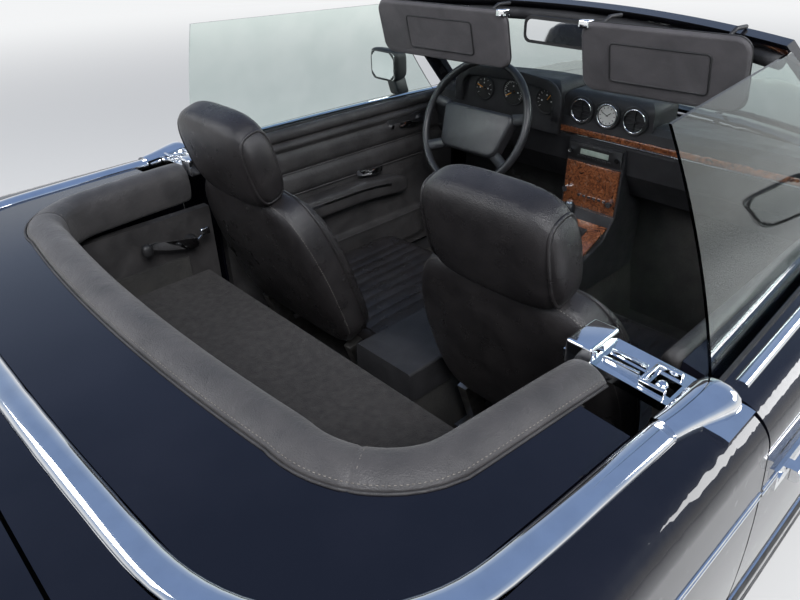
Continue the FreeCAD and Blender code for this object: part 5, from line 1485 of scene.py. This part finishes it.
visor("driver_visor", 0.112, 0.562, 0.156, 15, 5, ("sun_visors",))
visor("passenger_visor", -0.508, -0.132, 0.166, 17, 4)
print("two visors")

# %% Inside mirror
bm = bmesh.new()
plain_box(bm, 0.1935, 0.1962, -0.104, 0.080, 1.192, 1.242)
round_off(bm, edges_along(bm, 0), 0.014, 5)
new_piece("inside_mirror_glass", bm, mirror_glass, "body", sharp=40)
bm = bmesh.new()
plain_box(bm, 0.1950, 0.2175, -0.114, 0.090, 1.184, 1.250)
round_off(bm, edges_along(bm, 0), 0.020, 6)
round_off(bm, [e for e in bm.edges if all(v.co.x > 0.217 for v in e.verts)], 0.010, 4)
tube(bm, [Vector((0.216, -0.012, 1.224)), Vector((0.250, -0.012, 1.238)), Vector((0.284, -0.012, 1.250))],
     0.006, 12)
new_piece("inside_mirror_housing", bm, black_plastic, "body", sharp=50,
          replaced=("interior_mirror",))
print("inside mirror")

# %% [markdown]
# ## Header trim
# A vinyl roll covers the back of the header. It runs along an arc through the header's two ends and its
# middle. Two bright catches stand on the header, ready for the soft top.

# %% Header trim
PADDED_EDGE = in_mm((0, -16), (10, -13), (14, -4), (12, 8), (4, 14), (-6, 13), (-12, 4), (-10, -10))
bm = bmesh.new()
header = arc((0.165, 0.556, 1.222), (0.266, 0.0, 1.244), (0.165, -0.556, 1.222), 36)
sweep(bm, PADDED_EDGE, stops_along(header))
new_piece("header_roll", bm, dash_vinyl, "body")
bm = bmesh.new()
for y in (0.30, -0.30):
    plain_box(bm, 0.205, 0.236, y - 0.020, y + 0.020, 1.229, 1.246, 0.004, 3)
    peg(bm, moved(0.210, y, 1.249), 0.007, 0.006, 0.012, 20)
new_piece("header_catches", bm, chrome, "body", sharp=40)
print("header trim")

# %% [markdown]
# ## Deck rail
# A broad bright moulding runs round the deck behind the soft top's cover. It is one rounded outline
# drawn round a U. Its path is read from the solid rail: rays dropped along lines that fan out from the
# middle of the cabin find the rail's inner and outer edge, and the path runs half-way between them.

# %% Deck rail
MOULDING = in_mm((-14, -10), (-14.2, 0), (-12, 4.2), (-6, 8.2), (2, 10.5), (11, 11.2), (19, 9.8), (25, 6.8),
                 (28.5, 3), (28.6, -8))
FAN_X, FAN_STEP, ABOVE = -0.560, 1.5, 2
rail_tree = tree_of("deck_rail")
rail_path = []
for i in range(121):
    turn = math.radians(90 + FAN_STEP * i)
    reach = [r / 1000 for r in range(560, 1160, 3)]
    over = [hit(rail_tree, (FAN_X + r * math.cos(turn), r * math.sin(turn), ABOVE), -UP) for r in reach]
    over = [p for p in over if p]
    if over:
        middle = (over[0] + over[-1]) / 2
        height = drop_on(rail_tree, middle.x, middle.y) or middle.z
        rail_path.append(Vector((middle.x, middle.y, height)))
for _ in range(3):
    rail_path = smoothed(rail_path)
bm = bmesh.new()
sweep(bm, MOULDING, stops_along(rail_path))
new_piece("deck_moulding", bm, chrome, "body", sharp=50, replaced=("deck_rail",))
print("rail stops:", len(rail_path))

# %% Ends of the rail and sockets
END_CAP = (
    # along the car from the rail's end, size of the moulding there
    (0.0, 1.04), (0.030, 1.12), (0.060, 1.30), (0.085, 1.48), (0.108, 1.62), (0.122, 1.60), (0.129, 1.36),
)
SOCKET_WALLS = (
    # start and end along the car, inner and outer face
    (-0.5440, -0.4940, 0.7060, 0.7130),
    (-0.5500, -0.5430, 0.7060, 0.7480),
    (-0.4960, -0.4890, 0.7060, 0.7480),
)
cap_length = END_CAP[-1][0]
bm = bmesh.new()
for side, _ in SIDES:
    plain_box(bm, -0.5570, -0.4740, side * 0.5850, side * 0.6330, 0.885, 0.9330, 0.0065, 4)
    outline = [((0.0072 - a) * side, h + (0.003 if h > 0 else 0)) for a, h in MOULDING]
    path = [Vector((x - 0.6010, side * (0.7750 + 0.0240 * x / cap_length), 0.8935 + 0.0040 * x / cap_length))
            for x, _ in END_CAP]
    sweep(bm, outline, stops_along(path, sizes=[size for _, size in END_CAP]))
    for x0, x1, y0, y1 in SOCKET_WALLS:
        plain_box(bm, x0, x1, side * y0, side * y1, 0.898, 0.9150, 0.0024, 3)
    for x in (-0.5330, -0.5080):
        plain_box(bm, x - 0.0028, x + 0.0028, side * 0.6400, side * 0.7000, 0.898, 0.9148, 0.0018, 2)
    bmesh.ops.create_uvsphere(bm, u_segments=20, v_segments=12, radius=0.0105,
                              matrix=moved(-0.5180, side * 0.7300, 0.8960))
new_piece("rail_ends", bm, chrome, "body", sharp=40)
print("rail ends and sockets")

# %% [markdown]
# ## Soft top lever
# On the left trim behind the door a flat bright lever with a black knob unlocks the soft top's cover.
# A black boss carries it.

# %% Soft top lever
LEVER_Y = 0.5540
LEVER_BAR = in_mm((-2.8, -11), (2.8, -11), (4.2, 0), (2.8, 11), (-2.8, 11), (-4.2, 0))
LEVER_STOPS = (
    # along the car, inwards from the boss, up, size of the bar
    (-0.7250, 0.000, 0.7480, 0.7), (-0.7100, 0.006, 0.7490, 0.9), (-0.6750, 0.010, 0.7400, 1.1),
    (-0.6150, 0.010, 0.7260, 1.3), (-0.5900, 0.004, 0.7190, 1.0),
)
bm = bmesh.new()
path = [Vector((x, LEVER_Y - inwards, z)) for x, inwards, z, _ in LEVER_STOPS]
sweep(bm, LEVER_BAR, stops_along(path, sizes=[size for *_, size in LEVER_STOPS]))
tube(bm, [Vector((-0.592, LEVER_Y - 0.003, 0.722)), Vector((-0.572, LEVER_Y - 0.010, 0.741))], 0.0045, 10)
plain_box(bm, -0.5830, -0.5560, LEVER_Y - 0.019, LEVER_Y - 0.007, 0.738, 0.758, 0.004, 3)
new_piece("top_lever", bm, chrome, "body", sharp=50)
bm = soft_block((0.030, 0.026, 0.036), cuts=(6, 6, 6), power=2.6)
bmesh.ops.translate(bm, vec=(-0.7330, LEVER_Y - 0.006, 0.7440), verts=bm.verts)
peg(bm, moved(-0.605, LEVER_Y + 0.004, 0.722) @ turned("X", 90), 0.021, 0.017, 0.016, 28)
new_piece("top_lever_knob", bm, black_plastic, "body", sharp=50)
print("soft top lever")

# %% [markdown]
# ## Bumper strips and side mouldings
# A black rubber strip softens each bumper, and thin mouldings run along the flanks. Both are swept
# along points where rays from outside meet the solids, so they lie on the real surface.

# %% Bumper strips
BUMPERS = (
    # solid, middle of the fan of rays, way that it faces
    ("front_bumper", 1.735, 1),
    ("rear_bumper", -1.495, -1),
)
BUMPER_HEIGHT, FROM_OUTSIDE = 0.489, 2
BUMPER_STRIP = in_mm((-3, -21), (4, -21), (9.5, -15), (10.5, 0), (9.5, 15), (4, 21), (-3, 21))
for name, middle, sense in BUMPERS:
    bumper_tree = tree_of(name)
    path = []
    for i in range(73):
        turn = math.radians(90 - 2.5 * i)
        out = Vector((sense * math.cos(turn), sense * math.sin(turn), 0))
        spot = hit(bumper_tree, Vector((middle, 0, BUMPER_HEIGHT)) + out * FROM_OUTSIDE, -out)
        if spot:
            path.append(spot)
    for _ in range(2):
        path = smoothed(path)
    bm = bmesh.new()
    sweep(bm, BUMPER_STRIP, stops_along(path))
    new_piece(f"{name}_rubber", bm, black_rubber, "body", sharp=40)
    print(name, "strip has", len(path), "stops")

# %% Side mouldings
BRIGHT_LINE = in_mm((-2, -2.8), (1.6, -2.4), (2.2, 0), (1.6, 2.4), (-2, 2.8))
RUB_STRIP = in_mm((-3, -16), (4, -14), (6.5, -6), (6.5, 6), (4, 14), (-3, 16))
RUB_BRIGHT = in_mm((-3, -19), (2.8, -18), (3.4, 0), (2.8, 18), (-3, 19))
FLANK_LINES, RUB_HEIGHT, HOOD_DROP, OUTERMOST = (0.7585, 0.7485), 0.470, 0.030, 0.80


def flank_path(tree, ends, z, side, count):
    """Points where rays from the side meet a flank, between two places along the car."""
    path = []
    for i in range(count + 1):
        x = ends[0] + (ends[1] - ends[0]) * i / count
        spot = hit(tree, (x, side * FROM_OUTSIDE, z), (0, -side, 0))
        if spot and abs(spot.y) > OUTERMOST:
            path.append(spot)
    return path if side > 0 else list(reversed(path))


for side, word in SIDES:
    panels = (
        # solid, body, ends of the upper lines, ends of the rub strip
        ("rear_quarters", "body", (-1.90, -0.470), (-0.735, -0.472)),
        (f"door_{word}", f"door_{word}", (-0.462, 0.640), (-0.461, 0.640)),
        ("front_fenders", "body", (0.650, 1.950), (0.649, 0.965)),
    )
    for piece, body, high, low in panels:
        flank = tree_of(piece)
        bm = bmesh.new()
        for z in FLANK_LINES:
            path = flank_path(flank, high, z - HOOD_DROP * (high[1] > 1), side, 50)
            sweep(bm, BRIGHT_LINE, stops_along(path))
        path = flank_path(flank, low, RUB_HEIGHT, side, 24)
        sweep(bm, RUB_BRIGHT, stops_along(path))
        new_piece(f"{word}_{piece}_lines", bm, chrome, body, sharp=50)
        bm = bmesh.new()
        sweep(bm, RUB_STRIP, stops_along(path))
        new_piece(f"{word}_{piece}_rub_strip", bm, black_rubber, body, sharp=50)
print("side mouldings")

# %% [markdown]
# ## Grille and lamps
# Thin upright fins stand behind the grille's bars. Each headlamp is a clear block, and the pieces that
# show through it are made inside: a silver wall, two round reflectors and an amber outer lens. The
# reflectors are half an outline spun round the lamp's axis.

# %% Grille fins
FIN_PITCH, AHEAD = 0.0195, 3
grille_tree = tree_of("grille")
bm = bmesh.new()
for i in range(-24, 25):
    y = i * FIN_PITCH
    spot = hit(grille_tree, (AHEAD, y, 0.6105), -FORWARD)
    if spot:
        plain_box(bm, spot.x - 0.034, spot.x - 0.012, y - 0.0011, y + 0.0011, 0.583, 0.706)
new_piece("grille_fins", bm, grille_metal, "body", sharp=30)
bm = bmesh.new()
for vert in bmesh.ops.create_grid(bm, x_segments=24, y_segments=2, size=1.0)["verts"]:
    y = vert.co.x * 0.488
    vert.co = Vector((2.096 - 0.062 * (y / 0.5) ** 2, y, 0.644 + 0.064 * vert.co.y))
bmesh.ops.solidify(bm, geom=bm.faces[:], thickness=0.003)
new_piece("grille_back", bm, black_plastic, "body", sharp=30)
print("grille")

# %% Lamp finishes
amber, tree, shader = start_finish("amber lens", (0.75, 0.24, 0.02), 0.10)
fill(shader, [("Transmission Weight", 0.3)])
cloud_colour(tree, shader, noise(tree, 60.0, 3), (0.66, 0.19, 0.012), (0.80, 0.28, 0.03))
emboss(tree, shader, noise(tree, 220.0, 1, (1, 1, 0.05)), 0.0012, 0.6)
silver, tree, shader = start_finish("lamp silver", (0.80, 0.81, 0.82), 0.12, 1.0)
cloud_colour(tree, shader, noise(tree, 40.0, 3), (0.70, 0.71, 0.72), (0.84, 0.85, 0.86))
spread(tree, shader, noise(tree, 50.0, 4), "Roughness", 0.08, 0.2)
print("lamp finishes")

# %% Headlamps
LAMP_HEIGHT = 0.642
REFLECTORS = ((0.600, 0.060), (0.715, 0.046))
lamp_tree = tree_of("headlamps")


def lamp_wall(bm, side, y0, y1, z0, z1, inset, steps):
    """A sheet that follows the lamp's front, set back from it."""
    for vert in bmesh.ops.create_grid(bm, x_segments=steps, y_segments=4, size=1.0)["verts"]:
        y = side * (y0 + (y1 - y0) * (vert.co.x + 1) / 2)
        z = z0 + (z1 - z0) * (vert.co.y + 1) / 2
        spot = hit(lamp_tree, (AHEAD, y, z), -FORWARD) or hit(lamp_tree, (AHEAD, side * 0.82, 0.64), -FORWARD)
        vert.co = Vector((spot.x - inset, y, z))


def lamp_ring(bm, front, y, outline):
    """An outline of (along the car, radius) spun round the lamp's axis."""
    spots = [(front + x, y, LAMP_HEIGHT + radius) for x, radius in outline]
    lathe(bm, spots, (front, y, LAMP_HEIGHT), FORWARD, 40)


bm_silver, bm_amber, bm_dark = bmesh.new(), bmesh.new(), bmesh.new()
for side, _ in SIDES:
    lamp_wall(bm_silver, side, 0.512, 0.775, 0.574, 0.708, 0.052, 20)
    lamp_wall(bm_amber, side, 0.782, 0.838, 0.576, 0.706, 0.006, 8)
    lamp_wall(bm_dark, side, 0.7745, 0.7805, 0.572, 0.710, 0.005, 2)
    for y, radius in REFLECTORS:
        front = hit(lamp_tree, (AHEAD, side * y, LAMP_HEIGHT), -FORWARD).x
        lamp_ring(bm_silver, front, side * y,
                  [(-0.045, 0.010), (-0.043, 0.4 * radius), (-0.034, 0.75 * radius), (-0.020, radius),
                   (-0.014, 1.04 * radius), (-0.016, 1.08 * radius)])
        lamp_ring(bm_dark, front, side * y,
                  [(-0.0155, 1.09 * radius), (-0.012, 1.12 * radius), (-0.0155, 1.15 * radius)])
        bmesh.ops.create_uvsphere(bm_silver, u_segments=16, v_segments=10, radius=0.012,
                                  matrix=moved(front - 0.030, side * y, LAMP_HEIGHT))
new_piece("lamp_reflectors", bm_silver, silver, "body", sharp=60)
new_piece("front_indicators", bm_amber, amber, "body", sharp=60)
new_piece("lamp_dividers", bm_dark, black_plastic, "body", sharp=60)
print("headlamps")

# %% [markdown]
# ## Small parts outside
# Two plate lamps, the trunk's lock with a bright line across its lid, and two wipers are the last small
# trims. Rays from behind find the lid, and rays from in front find the windscreen.

# %% Plate lamps and trunk lock
LOCK_HEIGHT, LID_LINE = 0.752, 0.729
LID_STRIP = in_mm((-2, -5), (4, -4.5), (5, 0), (4, 4.5), (-2, 5))
bm = bmesh.new()
for y in (-0.12, 0.12):
    plain_box(bm, -2.186, -2.158, y - 0.028, y + 0.028, 0.690, 0.706, 0.003, 2)
new_piece("plate_lamps", bm, chrome, "body", sharp=40)
trunk_tree = tree_of("trunk_lid")
spot = hit(trunk_tree, (-AHEAD, 0, LOCK_HEIGHT), FORWARD)
place = moved(spot.x - 0.004, 0, LOCK_HEIGHT) @ turned("Y", 90)
bm = bmesh.new()
peg(bm, place, 0.019, 0.017, 0.012, 32)
peg(bm, place, 0.009, 0.010, 0.018)
path = [hit(trunk_tree, (-AHEAD, -0.62 + 0.031 * i, LID_LINE), FORWARD) for i in range(41)]
path = [p for p in path if p]
sweep(bm, LID_STRIP, stops_along(path[::-1]))
new_piece("trunk_lock", bm, chrome, "trunk_lid", sharp=40)
print("plate lamps and lock")

# %% Wipers
WIPERS = (
    # pivot across, ends of the blade across
    (0.34, 0.02, 0.46),
    (-0.20, -0.52, -0.08),
)
PIVOT_X, PIVOT_HEIGHT = 0.838, 0.908
BLADE = in_mm((-4, -8), (4, -8), (6, 4), (0, 8), (-6, 4))
ARM = in_mm((-6, -2.5), (6, -2.5), (5, 3), (-5, 3))
screen_tree = tree_of("windscreen_glass")
blades, arms = bmesh.new(), bmesh.new()
for pivot, y0, y1 in WIPERS:
    path = []
    for i in range(15):
        spot = hit(screen_tree, (AHEAD, y0 + (y1 - y0) * i / 14, 0.962 - 0.014 * i / 14), -FORWARD)
        if spot:
            path.append(spot + Vector((0.005, 0, 0.009)))
    sweep(blades, BLADE, stops_along(path))
    foot = Vector((PIVOT_X, pivot, PIVOT_HEIGHT + 0.006))
    tip = path[7] + Vector((0.006, 0, 0.010))
    rise, fall = Vector((0.004, 0, 0.014)), Vector((0.003, 0, 0.006))
    sweep(arms, ARM, stops_along([foot, foot.lerp(tip, 0.4) + rise, foot.lerp(tip, 0.8) + fall, tip]))
    peg(arms, moved(PIVOT_X, pivot, PIVOT_HEIGHT), 0.013, 0.009, 0.030, 20)
new_piece("wiper_blades", blades, black_rubber, "body", sharp=40)
new_piece("wiper_arms", arms, black_plastic, "body", sharp=40)
print("wipers")

# %% [markdown]
# ## Tyres
# A tyre is a closed outline spun round the axle. Its tread starts as plain ribs with grooves between
# them. Each face on a rib is then inset and raised, which leaves narrow sipes across the rib. The other
# wheels are copies that are moved, or turned to face the other side.

# %% Tyre
TREAD = (
    # across the tyre from its middle, radius
    (-0.0720, 0.1790), (-0.0960, 0.2040), (-0.1020, 0.2380), (-0.0995, 0.2840), (-0.0900, 0.3030),
    (-0.0800, 0.3105), (-0.0620, 0.3140), (-0.0580, 0.3140), (-0.0560, 0.3080), (-0.0500, 0.3080),
    (-0.0480, 0.3145), (-0.0225, 0.3148), (-0.0205, 0.3080), (-0.0145, 0.3080), (-0.0125, 0.3150),
    (0.0125, 0.3150), (0.0145, 0.3080), (0.0205, 0.3080), (0.0225, 0.3148), (0.0480, 0.3145),
    (0.0500, 0.3080), (0.0560, 0.3080), (0.0580, 0.3140), (0.0620, 0.3140), (0.0800, 0.3105),
    (0.0900, 0.3030), (0.0995, 0.2840), (0.1020, 0.2380), (0.0960, 0.2040), (0.0720, 0.1790),
)
RIB_RADIUS, RIB_REACH = 0.3103, 0.075
ACROSS = Vector((0, 1, 0))
bm = bmesh.new()
lathe(bm, [(0, across, radius) for across, radius in TREAD], (0, 0, 0), ACROSS, 96)
bmesh.ops.recalc_face_normals(bm, faces=bm.faces)
blocks = [f for f in bm.faces if all(v.co.xz.length > RIB_RADIUS for v in f.verts)
          and abs(f.calc_center_median().y) < RIB_REACH]
bmesh.ops.inset_individual(bm, faces=blocks, thickness=0.0019, depth=0.0022, use_even_offset=True)
bmesh.ops.recalc_face_normals(bm, faces=bm.faces)
print("tread blocks:", len(blocks))
tyre_mesh = bpy.data.meshes.new("tyre")
bm.to_mesh(tyre_mesh)
bm.free()

# %% Wheel centres, bolts and tyres at their places
FRONT_Y, REAR_Y = 0.7255, 0.7200
WHEELS = (
    # name, axle, middle of the wheel, turn that faces it outwards
    ("front_left", FRONT_AXLE, FRONT_Y, 0),
    ("front_right", FRONT_AXLE, -FRONT_Y, 180),
    ("rear_left", REAR_AXLE, REAR_Y, 0),
    ("rear_right", REAR_AXLE, -REAR_Y, 180),
)
CENTRE_CAP = ((0.044, 0.034), (0.056, 0.0335), (0.062, 0.031), (0.065, 0.026), (0.0645, 0.018),
              (0.067, 0.012), (0.0675, 0.0))
BOLT_CIRCLE, BOLTS = 0.0535, 5
for name, x, y, turn in WHEELS:
    body, place = f"wheel_{name}", moved(x, y, AXLE_HEIGHT) @ turned("Z", turn)
    bm = bmesh.new()
    bm.from_mesh(tyre_mesh)
    bmesh.ops.transform(bm, matrix=place, verts=bm.verts)
    new_piece(f"tread_{name}", bm, rubber, body, sharp=32, replaced=(f"tyre_{name}",))

    bm = bmesh.new()
    lathe(bm, [(0, across, radius) for across, radius in CENTRE_CAP], (0, 0, 0), ACROSS, 48)
    bmesh.ops.remove_doubles(bm, verts=bm.verts, dist=0.00001)
    for i in range(BOLTS):
        spot = turned("Y", 360 * i / BOLTS)
        peg(bm, spot @ moved(0, 0.052, BOLT_CIRCLE) @ turned("X", -90), 0.0085, 0.0080, 0.018, 6)
        peg(bm, spot @ moved(0, 0.047, BOLT_CIRCLE) @ turned("X", -90), 0.0110, 0.0110, 0.004, 16)
    peg(bm, moved(0.154, 0.070, 0) @ turned("X", -80), 0.0035, 0.0028, 0.030, 12)
    bmesh.ops.transform(bm, matrix=place, verts=bm.verts)
    new_piece(f"centre_{name}", bm, steel, body, sharp=35)
print(len(WHEELS), "wheels")

# %% [markdown]
# ## Brakes and springs
# A caliper grips each disc, and a coil spring stands on each lower arm. A coil is a round wire swept
# along a helix.

# %% Brakes and springs
FRONT_DISC, REAR_DISC = FRONT_Y - 0.012, REAR_Y - 0.012
SPRINGS = (
    # along the car, low and high end, radius, turns
    (1.350, 0.228, 0.430, 0.048, 6),
    (-1.050, 0.290, 0.366, 0.050, 3),
)
SPRING_Y, WIRE, TURN_STEPS = 0.560, 0.0062, 20
for side, word in SIDES:
    bm = bmesh.new()
    plain_box(bm, FRONT_AXLE - 0.150, FRONT_AXLE - 0.092, side * (FRONT_DISC - 0.034),
              side * (FRONT_DISC + 0.030), 0.262, 0.374, 0.008, 2)
    new_piece(f"caliper_front_{word}", bm, iron, f"knuckle_{word}", sharp=40)
bm = bmesh.new()
for side, _ in SIDES:
    plain_box(bm, REAR_AXLE + 0.092, REAR_AXLE + 0.148, side * (REAR_DISC - 0.034),
              side * (REAR_DISC + 0.028), 0.268, 0.368, 0.008, 2)
new_piece("calipers_rear", bm, iron, "body", sharp=40)
bm = bmesh.new()
for side, _ in SIDES:
    for x, low, high, radius, turns in SPRINGS:
        steps = TURN_STEPS * turns
        coil = []
        for i in range(steps + 1):
            turn = 2 * math.pi * i / TURN_STEPS
            coil.append(Vector((x + radius * math.cos(turn), side * SPRING_Y + radius * math.sin(turn),
                                low + (high - low) * i / steps)))
        tube(bm, coil, WIRE)
new_piece("coil_springs", bm, iron, "body")
print("brakes and springs")

# %% [markdown]
# ## Wheel arch liners
# Behind each wheel a moulded shell keeps water and stones off the body. A short outline across the
# car is spun part of the way round the axle, so the shell has a roof over the tyre, a wall towards the
# middle of the car and a rolled lip at the outside. The outer lip is drawn to the inside of the body.

# %% Arch liners
LINERS = (
    # name, axle, inner wall, radius where the wall ends
    ("front", FRONT_AXLE, 0.456, 0.250),
    ("rear", REAR_AXLE, 0.594, 0.200),
)
ROOF, LIP_START, LIP_END, HALF_TURN = 0.3455, 0.820, 0.870, 82
skin = tree_of("front_fenders", "rear_quarters", "front_apron", "sills")
for name, x, inner, foot in LINERS:
    axle = Vector((x, 0, AXLE_HEIGHT))
    outline = ((inner, foot), (inner, ROOF - 0.030), (inner + 0.010, ROOF - 0.008), (inner + 0.030, ROOF),
               (LIP_START, ROOF), (LIP_END, ROOF), (LIP_END + 0.001, ROOF + 0.012))
    bm = bmesh.new()
    for side, _ in SIDES:
        verts = [bm.verts.new((x, side * across, AXLE_HEIGHT + radius)) for across, radius in outline]
        edges = [bm.edges.new(pair) for pair in zip(verts, verts[1:])]
        bmesh.ops.rotate(bm, verts=verts, cent=axle, matrix=turned("Y", -HALF_TURN))
        bmesh.ops.spin(bm, geom=verts + edges, cent=axle, axis=ACROSS, angle=math.radians(2 * HALF_TURN),
                       steps=48)
    for vert in bm.verts:
        if abs(vert.co.y) > LIP_START + 0.01:
            side = math.copysign(1, vert.co.y)
            out = Vector((vert.co.x - x, 0, vert.co.z - AXLE_HEIGHT)).normalized() * (ROOF + 0.008)
            found = hit(skin, axle + out + side * 0.70 * ACROSS, side * ACROSS)
            if found:
                vert.co.y = found.y - side * 0.0025
    bmesh.ops.solidify(bm, geom=bm.faces[:], thickness=0.0012)
    new_piece(f"arch_liners_{name}", bm, black_plastic, "body", sharp=50)
    print(name, "arch liners are in")
